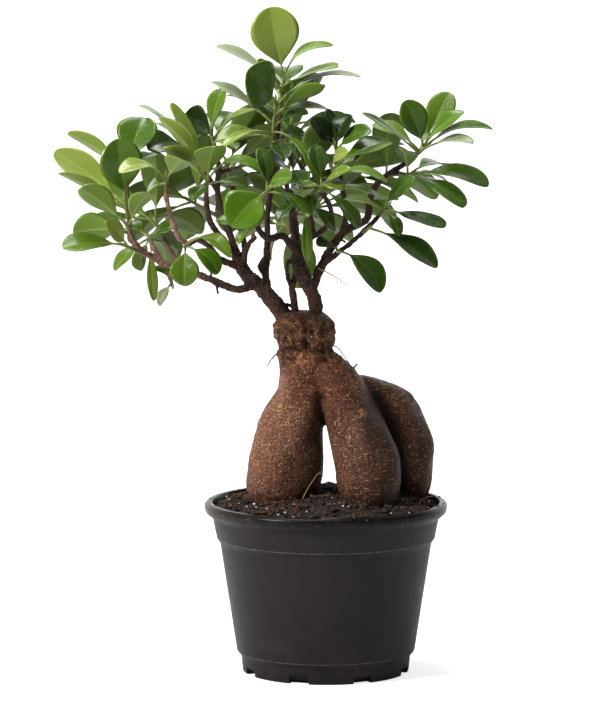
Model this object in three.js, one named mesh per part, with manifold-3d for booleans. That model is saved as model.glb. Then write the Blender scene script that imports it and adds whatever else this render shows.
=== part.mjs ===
// Ginseng fig in a nursery pot: swollen roots, a graft knob, bare limbs and leafy shoots.
// Millimetres, +Z up. The origin is the middle of the pot's underside, on the resting plane.
import * as THREE from "three";
import { mergeVertices } from "three/addons/utils/BufferGeometryUtils.js";
import Module from "manifold-3d";

const wasm = await Module();
wasm.setup();

// Pot
const rimRadius = 75;
const potHeight = 106;
const baseRadius = 51.5;
const footHeight = 10;
const footFlare = 1;
const stepRise = 3;
const bodyBottomRadius = 55.2;
const bodyTopRadius = 65.5;
const bodyTopHeight = 80.5;
const bandBottomRadius = 67.6;
const bandTopRadius = 70;
const bandTopHeight = 96;
const rimHeight = 6.6;
const rimRound = 1.6;
const rimWidth = 4.6;
const potWall = 1.7;
const floorThickness = 2.2;
const potSegments = 40;
const drainCount = 8;
const drainWidth = 13;
const drainHeight = 4.2;
const drainReach = 46;
const drainCutLength = 20;
const drainTurn = -19.5;

// Soil
const soilBottom = floorThickness + 0.4;
const soilEdgeHeight = 102;
const soilMound = 10;
const soilLump = 1.1;
const lumpWaves = { x: 0.21, y: 0.25, slant: 0.37, shift: 1.3, slantShift: 0.6 };
const soilSegments = 24;
const soilRings = 6;
const soilEdgeDrop = 8;
const soilCentreRadius = 1;

// Clearances and wood
const seatGap = 0.3;
const rootSides = 10;
const rootRipple = { depth: 0.05, length: 9, wide: 3, narrow: 5 };
const limbSides = 5;
const spurSides = 4;
const spurRadius = 1.7;
const spurTipRadius = 1.4;
const spurShare = 0.42;

// Leaves
const twigRadius = 1.3;
const twigTipRadius = 1.0;
const twigSides = 4;
const twigHead = 1.5;
const leafSpacing = 2.4;
const twigFootClear = 4;
const petioleShare = 0.18;
const petioleRadius = 0.8;
const bladeThickness = 1.3;
const foldSlope = 0.22;
const outlineSkew = 1.25;
const outlineFullness = 0.68;
const bladeStations = [0.2, 0.52, 0.84];
const goldenAngle = 137.508;

// Clearances that the leaves keep while they are placed
const bladeClearance = 2.3;
const sisterClearance = 1.1;
const sisterShare = 0.5;
const stemClearance = 1.3;
const edgeMargin = 1.2;
const nudgeTries = 90;
const nudgeStep = 5.2;
const rodSpacing = 3.5;

const colours = {
  pot: { color: 0x35322f, roughness: 0.55, metalness: 0 },
  soil: { color: 0x2a1c14, roughness: 0.95, metalness: 0 },
  bark: { color: 0x5a3122, roughness: 0.6, metalness: 0 },
  leaf: { color: 0x2c4a1e, roughness: 0.35, metalness: 0 },
};

const radians = THREE.MathUtils.degToRad;

// Repeatable random numbers between 0 and 1
function drawer(seed) {
  let state = seed;
  return () => {
    state = (state * 16807) % 2147483647;
    return state / 2147483647;
  };
}

// A closed solid from shared points and triangles
function solidFrom(points, triangles) {
  const geometry = new THREE.BufferGeometry();
  geometry.setAttribute("position", new THREE.Float32BufferAttribute(points.flat(), 3));
  geometry.setIndex(triangles.flat());
  return geometry;
}

function toManifold(geometry) {
  const bare = geometry.clone();
  bare.deleteAttribute("normal");
  bare.deleteAttribute("uv");
  const merged = mergeVertices(bare, 1e-4);
  return new wasm.Manifold(new wasm.Mesh({
    numProp: 3,
    vertProperties: new Float32Array(merged.attributes.position.array),
    triVerts: new Uint32Array(merged.index.array),
  }));
}

function fromManifold(solid) {
  const mesh = solid.getMesh();
  const geometry = new THREE.BufferGeometry();
  geometry.setAttribute("position", new THREE.Float32BufferAttribute(mesh.vertProperties, 3));
  geometry.setIndex(Array.from(mesh.triVerts));
  return geometry;
}

function join(geometries) {
  return geometries.map(toManifold).reduce((all, next) => all.add(next));
}

// Rings of equal point counts, joined into a skin and closed by a fan at each end.
// Where a tip is given, the last ring closes to that point.
function skinRings(rings, tip = null) {
  const sides = rings[0].length;
  const points = rings.flat();
  const triangles = [];
  for (let r = 0; r + 1 < rings.length; r += 1) {
    for (let i = 0; i < sides; i += 1) {
      const a = r * sides + i;
      const b = r * sides + (i + 1) % sides;
      triangles.push([a, b, b + sides], [a, b + sides, a + sides]);
    }
  }
  const last = (rings.length - 1) * sides;
  for (let i = 1; i + 1 < sides; i += 1) {
    triangles.push([0, i + 1, i]);
    if (!tip) {
      triangles.push([last, last + i, last + i + 1]);
    }
  }
  if (tip) {
    points.push(tip);
    for (let i = 0; i < sides; i += 1) {
      triangles.push([last + i, last + (i + 1) % sides, points.length - 1]);
    }
  }
  return solidFrom(points, triangles);
}

// A tapered tube with a ring at each point of its route
function taperedTube(route, radii, sides) {
  const places = route.map((p) => new THREE.Vector3(...p));
  let across = null;
  const rings = places.map((place, i) => {
    const before = places[Math.max(i - 1, 0)];
    const after = places[Math.min(i + 1, places.length - 1)];
    const along = after.clone().sub(before).normalize();
    if (!across) {
      across = new THREE.Vector3(0, 1, 0);
      if (Math.abs(along.y) > 0.9) {
        across.set(1, 0, 0);
      }
    }
    across.addScaledVector(along, -across.dot(along)).normalize();
    const third = along.clone().cross(across);
    const share = i / (places.length - 1);
    const radius = radii[0] + (radii[1] - radii[0]) * share;
    return Array.from({ length: sides }, (_, k) => {
      const turn = (2 * Math.PI * k) / sides;
      return place.clone()
        .addScaledVector(across, radius * Math.cos(turn))
        .addScaledVector(third, radius * Math.sin(turn))
        .toArray();
    });
  });
  return skinRings(rings);
}

// Level oval rings, from the top down: middle x, y and height, then half width and half depth
function rootBody(rings, grow = 0) {
  const rising = [...rings].reverse();
  return skinRings(rising.map(([x, y, z, halfWidth, halfDepth]) => (
    Array.from({ length: rootSides }, (_, k) => {
      const turn = (2 * Math.PI * k) / rootSides;
      const phase = z / rootRipple.length;
      const narrow = Math.sin(rootRipple.narrow * turn - phase) / 2;
      const out = 1 + rootRipple.depth * (Math.sin(rootRipple.wide * turn + phase) + narrow);
      return [
        x + (halfWidth * out + grow) * Math.cos(turn),
        y + (halfDepth * out + grow) * Math.sin(turn),
        z - (z === rising[0][2] ? grow : 0),
      ];
    })
  )));
}

// The swollen roots and the knob that they were grafted at
const knobRings = [
  [-15.5, -1, 224, 12.5, 11],
  [-13.5, -2, 219, 17, 14.5],
  [-13, -2, 213, 18.5, 15.5],
  [-12, -2, 203, 16.5, 14.5],
  [-10, -2, 193, 18.5, 15.5],
  [-8, -1, 182, 22, 16],
  [-5, 0, 172, 24, 15],
];
const leftRootRings = [
  [-13, -3, 189, 14, 13],
  [-16, -5, 174, 15, 15],
  [-19.5, -6, 160, 19.5, 18],
  [-23, -7, 146, 21, 20],
  [-25.5, -8, 128, 23.2, 20.5],
  [-27, -9, 116, 22.4, 19],
  [-28.5, -9, 106, 17, 16],
  [-30, -9, 96, 11, 11],
  [-31, -9, 82, 6, 6],
];
const middleRootRings = [
  [-1, -4, 196, 10, 11],
  [4, -7, 189, 13, 13],
  [9, -9, 180, 14.5, 15],
  [13, -11, 168, 17, 17],
  [18.2, -13, 157, 18.3, 18.5],
  [23.3, -15, 140, 20, 20],
  [25.8, -17, 124, 20, 20],
  [27, -18, 112, 17.5, 18],
  [27, -18, 102, 12.5, 14],
  [26, -18, 92, 8, 9],
  [25, -18, 82, 5, 5],
];
const rightRootRings = [
  [16, 1, 184, 8, 8],
  [23, 7, 181, 9, 10],
  [29, 11, 178, 12, 12.5],
  [35, 15, 173.5, 14, 14.5],
  [39, 19, 167.5, 16, 15.5],
  [45, 23, 157, 16.5, 17],
  [50, 25, 140, 16.5, 17],
  [51.5, 26, 129, 15.5, 16.5],
  [52, 25.5, 116, 14.2, 14.5],
  [51.5, 25, 106, 12.5, 12.5],
  [48, 24, 92, 6, 7],
  [47, 23, 84, 4, 4.5],
];

const rootBodies = [knobRings, leftRootRings, middleRootRings, rightRootRings];

// Woody limbs: route, radius at the base and at the tip
const limbs = {
  leftMain: { route: [[-22, -2, 212], [-28, -2, 224], [-39, -5, 238], [-47, -7, 245], [-52, -6, 252],
    [-55, -5, 260]], radii: [5.6, 3.8] },
  leftLow: { route: [[-43, -7, 240], [-57, -10, 239], [-78, -14, 248], [-96, -17, 254], [-106, -18, 259],
    [-115, -19, 265], [-119, -20, 271]], radii: [2.5, 1.9] },
  leftLowStub: { route: [[-116, -19, 267], [-121, -22, 274], [-126, -25, 277]], radii: [1.5, 1.3] },
  leftLowIn: { route: [[-100, -17, 256], [-103, -6, 259], [-106, 2, 263]], radii: [1.7, 1.5] },
  leftLowHang: { route: [[-93, -16, 253], [-94, -6, 249], [-96, 0, 245]], radii: [1.7, 1.5] },
  leftFront: { route: [[-53, -6, 252], [-66, -14, 258], [-72, -24, 267], [-78, -34, 271],
    [-84, -42, 269]], radii: [2.2, 1.7] },
  leftFrontUp: { route: [[-83, -41, 269], [-89, -42, 273], [-93, -38, 282], [-96, -34, 292],
    [-97, -32, 297]], radii: [1.7, 1.5] },
  leftFan: { route: [[-54, -5, 258], [-66, -14, 273], [-71, -22, 282], [-72, -27, 288],
    [-73, -32, 297]], radii: [2.1, 1.6] },
  leftTall: { route: [[-54, -5, 257], [-59, 2, 271], [-62, 8, 277], [-65, 14, 286], [-67, 18, 297],
    [-66, 20, 313]], radii: [2.4, 1.6] },
  leftBack: { route: [[-51, -5, 250], [-50, 8, 261], [-52, 18, 270], [-55, 28, 284],
    [-58, 36, 299]], radii: [2.1, 1.6] },
  leftStub: { route: [[-51, -7, 254], [-48, -18, 266], [-43, -26, 272]], radii: [1.8, 1.5] },
  leader: { route: [[-35, -3, 233], [-37, -2, 248], [-36, 2, 269], [-36, 4, 283], [-34, 3, 298],
    [-31, 0, 322]], radii: [2.2, 1.6] },
  middleMain: { route: [[-18, 0, 216], [-20, 0, 233], [-21, 0, 238], [-19, 3, 246], [-18, 9, 261],
    [-18, 16, 270], [-22, 30, 296]], radii: [2.4, 1.6] },
  middleProng: { route: [[-21, 0, 237], [-23, -1, 243], [-24, -2, 251], [-23, -5, 256]],
    radii: [1.5, 1.2] },
  rightMain: { route: [[-5, -2, 214], [-7, -3, 231], [-10, -4, 238], [-14, -5, 246], [-17, -5, 255],
    [-15, -4, 268]], radii: [4.2, 4.6] },
  rightCross: { route: [[-17, -6, 260], [-23, -12, 268], [-27, -16, 272], [-34, -22, 271],
    [-39, -28, 274], [-42, -34, 280], [-42, -42, 289], [-40, -48, 296]], radii: [2.5, 1.6] },
  rightUp: { route: [[-17, -4, 264], [-20, -4, 273], [-21, -6, 283], [-23, -8, 293],
    [-24, -10, 303]], radii: [2.2, 1.6] },
  rightOut: { route: [[-9, -3, 236], [-2, 4, 253], [10, 10, 271], [25, 18, 279], [27, 18, 291],
    [32, 14, 302], [40, 8, 309], [49, 2, 315]], radii: [3.0, 1.6] },
  rightOutUp: { route: [[10, 10, 271], [12, 6, 281], [11, 0, 293], [9, -6, 305],
    [7, -12, 315]], radii: [2.0, 1.5] },
  rightBack: { route: [[-14, -3, 263], [-9, 5, 270], [-9, 12, 278], [-11, 18, 284], [-12, 26, 293],
    [-12, 34, 307]], radii: [2.2, 1.6] },
  rightGreen: { route: [[-3, 3, 251], [4, -5, 258], [14, -10, 266], [25, -9, 276],
    [31, -8, 282]], radii: [1.9, 1.5] },
  rightThin: { route: [[-10, 5, 269], [-2, 0, 274], [3, -10, 283], [2, -20, 291], [-1, -32, 297],
    [-3, -40, 301]], radii: [1.8, 1.5] },
};

// Leafy shoots: where each forks from its limb, its heart, and its leaves by the place of the tip,
// the blade's width, how far the upper face leans to the front in degrees, and the bow
const shoots = [
  { name: "crest", fork: [-31, 0, 321], heart: [-26, 0, 367], leaves: [
    [-34, -8, 411, 30, 73, 3], [4, -10, 388, 15, 22, 9], [7, -22, 376, 15, 21, 2],
    [-67, -10, 387, 17, 16, 4], [-42, -22, 379, 12, 49, 2], [-22, 38, 372, 20, -20, 5],
    [-44, 38, 368, 20, -25, 5]] },
  { name: "crest_front", fork: [-32, 1, 314], heart: [-31, -8, 352], leaves: [
    [-48, -36, 373, 31, 67, 3], [21, -14, 369, 13, 8, 9], [1, 8, 348, 17, 17, 2],
    [-2, -34, 365, 14, -30, 2], [-12, 4, 368, 10, 8, 2]] },
  { name: "crest_low", fork: [-34, 3, 298], heart: [-32, -14, 340], leaves: [
    [-70, -18, 366, 17, 13, 2], [-11, -20, 347, 15, 17, 3], [-5, -36, 306, 9.2, 8, 9],
    [-63, -36, 327, 9.5, 8, 6], [-66, -22, 334, 19, 27, 4], [-25, -42, 321, 14.3, 9, 3],
    [-13, -4, 334, 16, 31, 3]] },
  { name: "upper_left", fork: [-66, 20, 312], heart: [-70, 8, 331], leaves: [
    [-62, 2, 361, 15, 26, 3], [-86, -20, 346, 19, 63, 3], [-42, 14, 347, 11.3, 8, 5],
    [-55, -14, 324, 14, 8, 3], [-55, 34, 344, 19, 10, 6], [-84, 36, 342, 19, 15, 6]] },
  { name: "upper_left_back", fork: [-67, 18, 297], heart: [-87, 14, 326], leaves: [
    [-115, 12, 350, 14, 9, 3], [-109, -6, 324, 20, 45, 4], [-103, 44, 337, 19, 10, 6],
    [-81, 50, 338, 18, 10, 5]] },
  { name: "fan", fork: [-73, -31, 296], heart: [-72, -38, 307], leaves: [
    [-101, -48, 346, 17, 22, 4], [-96, -58, 329, 19, -23, 3], [-36, -50, 312, 16, 21, 12],
    [-68, -60, 333, 20, 17, 3], [-80, -66, 298, 11.7, 8, 3], [-48, -58, 305, 14, 18, 3],
    [-94, -28, 354, 13.7, 8, 3]] },
  { name: "front_up", fork: [-97, -32, 296], heart: [-97, -34, 307], leaves: [
    [-87, -66, 322, 17, -58, 3], [-124, -62, 314, 15, 26, 8], [-110, -12, 295, 16, 51, 3]] },
  { name: "outer_top", fork: [-119, -20, 270], heart: [-122, -14, 312], leaves: [
    [-111, 2, 343, 26, 27, 3], [-158, -8, 334, 16, -31, 3], [-103, 4, 323, 13.4, 8, 5],
    [-134, 30, 322, 18, 15, 6]] },
  { name: "outer_mid", fork: [-118, -20, 269], heart: [-122, -30, 293], leaves: [
    [-119, -46, 332, 27, 34, 3], [-165, -24, 324, 20, -61, 3], [-162, -38, 312, 12, -25, 3]] },
  { name: "outer_low", fork: [-114, -19, 264], heart: [-121, -36, 280], leaves: [
    [-148, -50, 304, 19, -44, 3], [-106, -52, 301, 15, -22, 3], [-154, -28, 275, 21, -69, 3]] },
  { name: "outer_foot", fork: [-106, -18, 259], heart: [-122, -38, 268], leaves: [
    [-159, -52, 268, 20, 33, 3], [-133, -54, 284, 13, 54, 2]] },
  { name: "inner_low", fork: [-106, 2, 262], heart: [-109, 14, 268], leaves: [
    [-94, 0, 275, 15, 39, 3], [-130, 0, 249, 11.8, 8, 3], [-106, 2, 230, 7, 8, 3],
    [-115, 30, 246, 13, 23, 3], [-128, 34, 270, 19, 15, 5], [-100, 44, 250, 18, 30, 5]] },
  { name: "hanging", fork: [-96, -1, 246], heart: [-95, 7, 240], leaves: [
    [-102, -10, 228, 7, 8, 3], [-106, 36, 248, 15, 40, 4]] },
  { name: "front_left", fork: [-83, -41, 269], heart: [-85, -52, 269], leaves: [
    [-85, -64, 246, 18, 8, 4], [-65, -58, 253, 16, 29, 4], [-58, -72, 264, 14, 15, 9]] },
  { name: "left_stub", fork: [-44, -25, 271], heart: [-45, -35, 277], leaves: [
    [-53, -50, 270, 7, 8, 3], [-67, -30, 282, 15, 26, 3]] },
  { name: "cross", fork: [-40, -47, 295], heart: [-35, -56, 303], leaves: [
    [-57, -76, 283, 27, 68, 5], [-21, -78, 312, 17, 54, 4], [-13, -70, 290, 15, 8, 4],
    [-34, -42, 326, 12.4, 8, 4]] },
  { name: "right_top", fork: [7, -11, 313], heart: [6, -14, 324], leaves: [
    [-10, -26, 343, 16, 45, 3], [15, -18, 346, 16, 25, 3], [27, -30, 337, 15, 41, 4],
    [1, -6, 349, 9.4, 8, 3], [0, 28, 336, 18, 10, 5]] },
  { name: "right_young", fork: [10, -3, 299], heart: [3, -32, 315], leaves: [
    [13, -48, 325, 11, 51, 3], [40, -22, 329, 18, 21, 4], [-6, -26, 320, 14, 11, 3]] },
  { name: "thin", fork: [-3, -39, 300], heart: [-3, -48, 304], leaves: [
    [9, -66, 304, 12, 23, 3], [36, -58, 308, 17, 14, 9], [34, -40, 297, 15, 10, 3],
    [19, -58, 280, 16, 8, 3], [-12, -66, 290, 8.7, 9, 3], [14, -64, 316, 12, 37, 3],
    [-7, -38, 329, 12.9, 8, 3], [-13, -66, 306, 10, 44, 2]] },
  { name: "far_high", fork: [48, 3, 314], heart: [60, 2, 324], leaves: [
    [48, -8, 354, 18, 54, 3], [76, 12, 358, 18, 35, 3], [84, -10, 347, 15, 32, 4],
    [102, -2, 336, 16, 11, 7], [89, -22, 329, 15, 16, 4], [28, 6, 338, 16, 21, 4],
    [71, 46, 339, 18, 15, 6], [22, -18, 347, 11, 26, 2]] },
  { name: "far_low", fork: [41, 7, 309], heart: [52, -4, 308], leaves: [
    [99, -18, 303, 20, 28, 6], [84, -30, 291, 17, 17, 3], [79, 40, 308, 19, 20, 6],
    [46, -24, 325, 15, 33, 3], [75, 8, 307, 12, 8, 3]] },
  { name: "under", fork: [30, -8, 281], heart: [36, -10, 288], leaves: [
    [54, -28, 308, 15, 45, 4], [72, -34, 279, 17, 21, 1], [44, -30, 273, 9, 8, 3],
    [10, -26, 295, 14, -29, 3]] },
  { name: "under_low", fork: [21, -9, 272], heart: [26, -20, 277], leaves: [
    [67, -34, 254, 20, 20, 4]] },
  { name: "right_low", fork: [9, -9, 262], heart: [7, -20, 263], leaves: [
    [33, -34, 239, 20, 21, 7], [-5, -40, 268, 13, 44, 3]] },
  { name: "middle_up", fork: [-24, -10, 302], heart: [-23, -14, 312], leaves: [
    [-35, -34, 328, 18, 55, 3], [-8, -44, 320, 14, 55, 3]] },
  { name: "centre", fork: [-21, -6, 283], heart: [-13, -30, 294], leaves: [
    [-4, -38, 259, 7, 8, 3], [-30, -54, 284, 9, 8, 4], [8, -26, 279, 14, 18, 3],
    [-17, -58, 312, 15, 49, 3]] },
  { name: "inner_back", fork: [-18, 16, 270], heart: [-25, 28, 275], leaves: [
    [-34, 38, 252, 14, 25, 3], [-52, 40, 268, 14, 10, 4]] },
];

// Shoots of the far side, whose leaves turn round the shoot by the golden angle, with small
// repeatable differences that start from the shoot's seed
const farShoots = [
  { name: "back_left", fork: [-58, 35, 297], heart: [-62, 46, 310], count: 6, seed: 91644 },
  { name: "back_left_low", fork: [-53, 20, 273], heart: [-85, 41, 289], count: 6, seed: 45086 },
  { name: "back_left_high", fork: [-66, 20, 308], heart: [-52, 46, 310], count: 5, seed: 50319 },
  { name: "back_middle", fork: [-22, 29, 294], heart: [-19, 53, 300], count: 6, seed: 29114 },
  { name: "back_middle_low", fork: [-19, 19, 276], heart: [-22, 40, 280], count: 5, seed: 85708 },
  { name: "back_middle_high", fork: [-12, 33, 305], heart: [-22, 51, 322], count: 5, seed: 52634 },
  { name: "back_right", fork: [-12, 30, 300], heart: [14, 51, 305], count: 6, seed: 47534 },
  { name: "back_right_low", fork: [-11, 18, 284], heart: [-7, 43, 284], count: 6, seed: 28321 },
  { name: "back_right_high", fork: [35, 12, 304], heart: [38, 34, 304], count: 4, seed: 83033 },
  { name: "back_crest", fork: [-34, 3, 298], heart: [-22, 25, 336], count: 3, seed: 30618 },
  { name: "back_outer", fork: [-88, -16, 250], heart: [-107, 25, 279], count: 5, seed: 79036 },
];
const farLength = [40, 50];
const farWidth = [17, 22];
const farSpread = [48, 92];
const farTurn = 40;
const farFace = -60;
const farBow = [3, 8];

function vector(point) {
  return new THREE.Vector3(...point);
}

// A leaf's frame: a chord from the heart to the tip, its upward side and its width across.
// The blade is a surface over the chord, raised by a bow along it and a fold at the midrib.
function leafFrame(base, tip, wide, face, bow) {
  const aim = tip.clone().sub(base);
  const chord = aim.length();
  aim.divideScalar(chord);
  const lift = new THREE.Vector3(0, -Math.sin(radians(face)), Math.cos(radians(face)));
  lift.addScaledVector(aim, -lift.dot(aim)).normalize();
  const side = aim.clone().cross(lift);
  return { base, aim, lift, side, chord, wide, face, bow };
}

// Half the blade's width at a share of the chord; the petiole comes first
function halfWidthAt(leaf, share) {
  const t = (share - petioleShare) / (1 - petioleShare);
  if (t <= 0 || t >= 1) {
    return petioleRadius;
  }
  const swell = Math.sin(Math.PI * t ** outlineSkew) ** outlineFullness;
  return Math.max(petioleRadius, (leaf.wide / 2) * swell);
}

function heightAt(leaf, share, across) {
  const u = Math.min(Math.max(share, 0), 1);
  return leaf.bow * 4 * u * (1 - u) + Math.abs(across) * foldSlope;
}

function pointOn(leaf, share, across, raise = 0) {
  return leaf.base.clone()
    .addScaledVector(leaf.aim, leaf.chord * share)
    .addScaledVector(leaf.side, across)
    .addScaledVector(leaf.lift, heightAt(leaf, share, across) + raise);
}

// How far a point stands off a leaf's surface, or null where the leaf doesn't reach it
function standOff(leaf, point, margin) {
  const offset = point.clone().sub(leaf.base);
  const along = offset.dot(leaf.aim);
  if (along < -margin || along > leaf.chord + margin) {
    return null;
  }
  const share = along / leaf.chord;
  const across = offset.dot(leaf.side);
  if (Math.abs(across) > halfWidthAt(leaf, share) + margin) {
    return null;
  }
  return Math.abs(offset.dot(leaf.lift) - heightAt(leaf, share, across));
}

// Points along a stem, which leaves of other shoots keep clear of
function rodPoints(route, radii, owner) {
  const rods = [];
  const steps = route.length - 1;
  for (let i = 0; i < steps; i += 1) {
    const a = vector(route[i]);
    const b = vector(route[i + 1]);
    const count = Math.ceil(a.distanceTo(b) / rodSpacing);
    for (let k = 0; k < count; k += 1) {
      const share = (i + k / count) / steps;
      const radius = radii[0] + (radii[1] - radii[0]) * share;
      rods.push({ place: a.clone().lerp(b, k / count), radius, owner });
    }
  }
  return rods;
}

const sampleShares = [0.1, 0.22, 0.34, 0.46, 0.58, 0.7, 0.82, 0.92, 1.0];
const sampleSides = [-1, -0.5, 0, 0.5, 1];

function leafPoints(leaf) {
  return sampleShares.flatMap((share) => sampleSides.map((sideways) => (
    { share, place: pointOn(leaf, share, sideways * halfWidthAt(leaf, share)) }
  )));
}

// Whether a leaf's points keep off another leaf's surface
function pointsClear(points, leaf, sisters) {
  const margin = sisters ? 0 : edgeMargin;
  const clearance = sisters ? sisterClearance : bladeClearance;
  return points.every(({ share, place }) => {
    if (sisters && share < sisterShare) {
      return true;
    }
    const off = standOff(leaf, place, margin);
    return off === null || off >= clearance;
  });
}

function isClear(leaf, owner, placed, rods) {
  for (const rod of rods) {
    if (rod.owner !== owner) {
      const off = standOff(leaf, rod.place, rod.radius + edgeMargin);
      if (off !== null && off < rod.radius + stemClearance) {
        return false;
      }
    }
  }
  const points = leafPoints(leaf);
  const middle = pointOn(leaf, 0.5, 0);
  return placed.every((other) => {
    const reach = (leaf.chord + leaf.wide + other.leaf.chord + other.leaf.wide) / 2;
    if (middle.distanceTo(other.middle) > reach) {
      return true;
    }
    const sisters = other.owner === owner;
    return pointsClear(points, other.leaf, sisters) && pointsClear(other.points, leaf, sisters);
  });
}

// A leaf is turned aside in a widening spiral until it is clear of the others
function placeLeaf(base, tip, wide, face, bow, owner, placed, rods) {
  const wanted = leafFrame(base, tip, wide, face, bow);
  for (let k = 0; k < nudgeTries; k += 1) {
    const lean = radians(nudgeStep * Math.sqrt(k));
    const spin = radians(goldenAngle * k);
    const aim = wanted.aim.clone().multiplyScalar(Math.cos(lean))
      .addScaledVector(wanted.side, Math.sin(lean) * Math.cos(spin))
      .addScaledVector(wanted.lift, Math.sin(lean) * Math.sin(spin));
    const leaf = leafFrame(base, base.clone().addScaledVector(aim, wanted.chord), wide, face, bow);
    if (isClear(leaf, owner, placed, rods)) {
      placed.push({ leaf, owner, middle: pointOn(leaf, 0.5, 0), points: leafPoints(leaf) });
      return leaf;
    }
  }
  return null;
}

// The leaves of a far shoot, as tips, widths, faces and bows
function farLeaves(shoot) {
  const draw = drawer(shoot.seed);
  const heart = vector(shoot.heart);
  const axis = heart.clone().sub(vector(shoot.fork)).normalize();
  const side = new THREE.Vector3(1, 0, 0).addScaledVector(axis, -axis.x).normalize();
  const third = axis.clone().cross(side);
  return Array.from({ length: shoot.count }, (_, i) => {
    const between = ([low, high]) => low + (high - low) * draw();
    const spin = radians(i * goldenAngle + farTurn * draw());
    const spread = radians(between(farSpread));
    const length = between(farLength);
    const tip = heart.clone()
      .addScaledVector(axis, length * Math.cos(spread))
      .addScaledVector(side, length * Math.sin(spread) * Math.cos(spin))
      .addScaledVector(third, length * Math.sin(spread) * Math.sin(spin));
    return [...tip.toArray(), between(farWidth), farFace * draw(), between(farBow)];
  });
}

// Stations along the leaf, four points each: left edge, upper midrib, right edge, lower midrib
function leafBody(leaf) {
  const rings = [];
  const ring = (share, half, thick) => {
    rings.push([
      pointOn(leaf, share, -half).toArray(),
      pointOn(leaf, share, 0, thick / 2).toArray(),
      pointOn(leaf, share, half).toArray(),
      pointOn(leaf, share, 0, -thick / 2).toArray(),
    ]);
  };
  ring(0, petioleRadius, petioleRadius * 2);
  ring(petioleShare, petioleRadius, petioleRadius * 2);
  for (const t of bladeStations) {
    const share = petioleShare + (1 - petioleShare) * t;
    ring(share, halfWidthAt(leaf, share), bladeThickness);
  }
  return skinRings(rings, pointOn(leaf, 1, 0).toArray());
}

function spurEnd(shoot) {
  return vector(shoot.fork).lerp(vector(shoot.heart), spurShare);
}

// Leaves leave the twig one below another, the first at the heart
function leafBase(shoot, index, count) {
  const heart = vector(shoot.heart);
  const down = spurEnd(shoot).sub(heart);
  const room = down.length() - twigFootClear;
  const spacing = Math.min(leafSpacing, room / count);
  return heart.addScaledVector(down.normalize(), spacing * index);
}

function addMesh(group, name, geometry, look) {
  const mesh = new THREE.Mesh(geometry, new THREE.MeshStandardMaterial(colours[look]));
  mesh.name = name;
  group.add(mesh);
}

// Outer radius of the pot's straight side at a height
function sideRadius(height) {
  const share = (height - footHeight - stepRise) / (bodyTopHeight - footHeight - stepRise);
  return bodyBottomRadius + (bodyTopRadius - bodyBottomRadius) * share;
}

function makePot() {
  const rimBottom = potHeight - rimHeight;
  const innerLip = rimRadius - rimWidth;
  const profile = [
    [0, 0],
    [baseRadius, 0],
    [baseRadius + footFlare, footHeight],
    [bodyBottomRadius, footHeight + stepRise],
    [bodyTopRadius, bodyTopHeight],
    [bandBottomRadius, bodyTopHeight + stepRise],
    [bandTopRadius, bandTopHeight],
    [rimRadius - rimRound / 2, rimBottom],
    [rimRadius, rimBottom + rimRound],
    [rimRadius, potHeight - rimRound],
    [rimRadius - rimRound, potHeight],
    [innerLip, potHeight],
    [bandTopRadius - potWall, bandTopHeight],
    [bandBottomRadius - potWall, bodyTopHeight + stepRise],
    [bodyTopRadius - potWall, bodyTopHeight],
    [bodyBottomRadius - potWall, footHeight + stepRise],
    [baseRadius - potWall, floorThickness],
    [0, floorThickness],
  ].map(([r, z]) => new THREE.Vector2(r, z));
  const body = new THREE.LatheGeometry(profile, potSegments).rotateX(Math.PI / 2);
  let solid = toManifold(body);
  for (let i = 0; i < drainCount; i += 1) {
    const cutter = new THREE.BoxGeometry(drainWidth, drainCutLength, drainHeight * 2);
    cutter.translate(0, -drainReach - drainCutLength / 2, 0);
    cutter.rotateZ(radians(drainTurn + (i * 360) / drainCount));
    solid = solid.subtract(toManifold(cutter));
  }
  return fromManifold(solid);
}

// Height of the soil's surface: a mound towards the roots with lumps
function soilHeight(x, y) {
  const share = Math.min(Math.hypot(x, y) / bandTopRadius, 1);
  const { shift, slant, slantShift } = lumpWaves;
  const broad = Math.sin(x * lumpWaves.x + shift) * Math.cos(y * lumpWaves.y);
  const lumps = broad + Math.sin((x + y) * slant + slantShift) / 2;
  return soilEdgeHeight + soilMound * (1 - share ** 2) + soilLump * lumps;
}

function makeSoil() {
  const wallGap = potWall + seatGap;
  const topRadius = bandTopRadius - wallGap;
  const ringOf = (radius, height = null) => Array.from({ length: soilSegments }, (_, k) => {
    const turn = (2 * Math.PI * k) / soilSegments;
    const x = radius * Math.cos(turn);
    const y = radius * Math.sin(turn);
    return [x, y, height ?? soilHeight(x, y)];
  });
  const rings = [
    ringOf(baseRadius - wallGap, soilBottom),
    ringOf(bodyBottomRadius - wallGap, footHeight + stepRise),
    ringOf(sideRadius(bodyTopHeight) - wallGap, bodyTopHeight),
    ringOf(topRadius - seatGap, soilEdgeHeight - soilEdgeDrop),
  ];
  for (let i = soilRings; i >= 1; i -= 1) {
    rings.push(ringOf((topRadius * i) / soilRings));
  }
  rings.push(ringOf(soilCentreRadius));
  let solid = toManifold(skinRings(rings));
  for (const body of rootBodies) {
    solid = solid.subtract(toManifold(rootBody(body, seatGap)));
  }
  return fromManifold(solid);
}

function makeTrunk(allShoots) {
  const pieces = rootBodies.map((rings) => rootBody(rings));
  for (const limb of Object.values(limbs)) {
    pieces.push(taperedTube(limb.route, limb.radii, limbSides));
  }
  for (const shoot of allShoots) {
    const route = [shoot.fork, spurEnd(shoot).toArray()];
    pieces.push(taperedTube(route, [spurRadius, spurTipRadius], spurSides));
  }
  return fromManifold(join(pieces));
}

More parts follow.
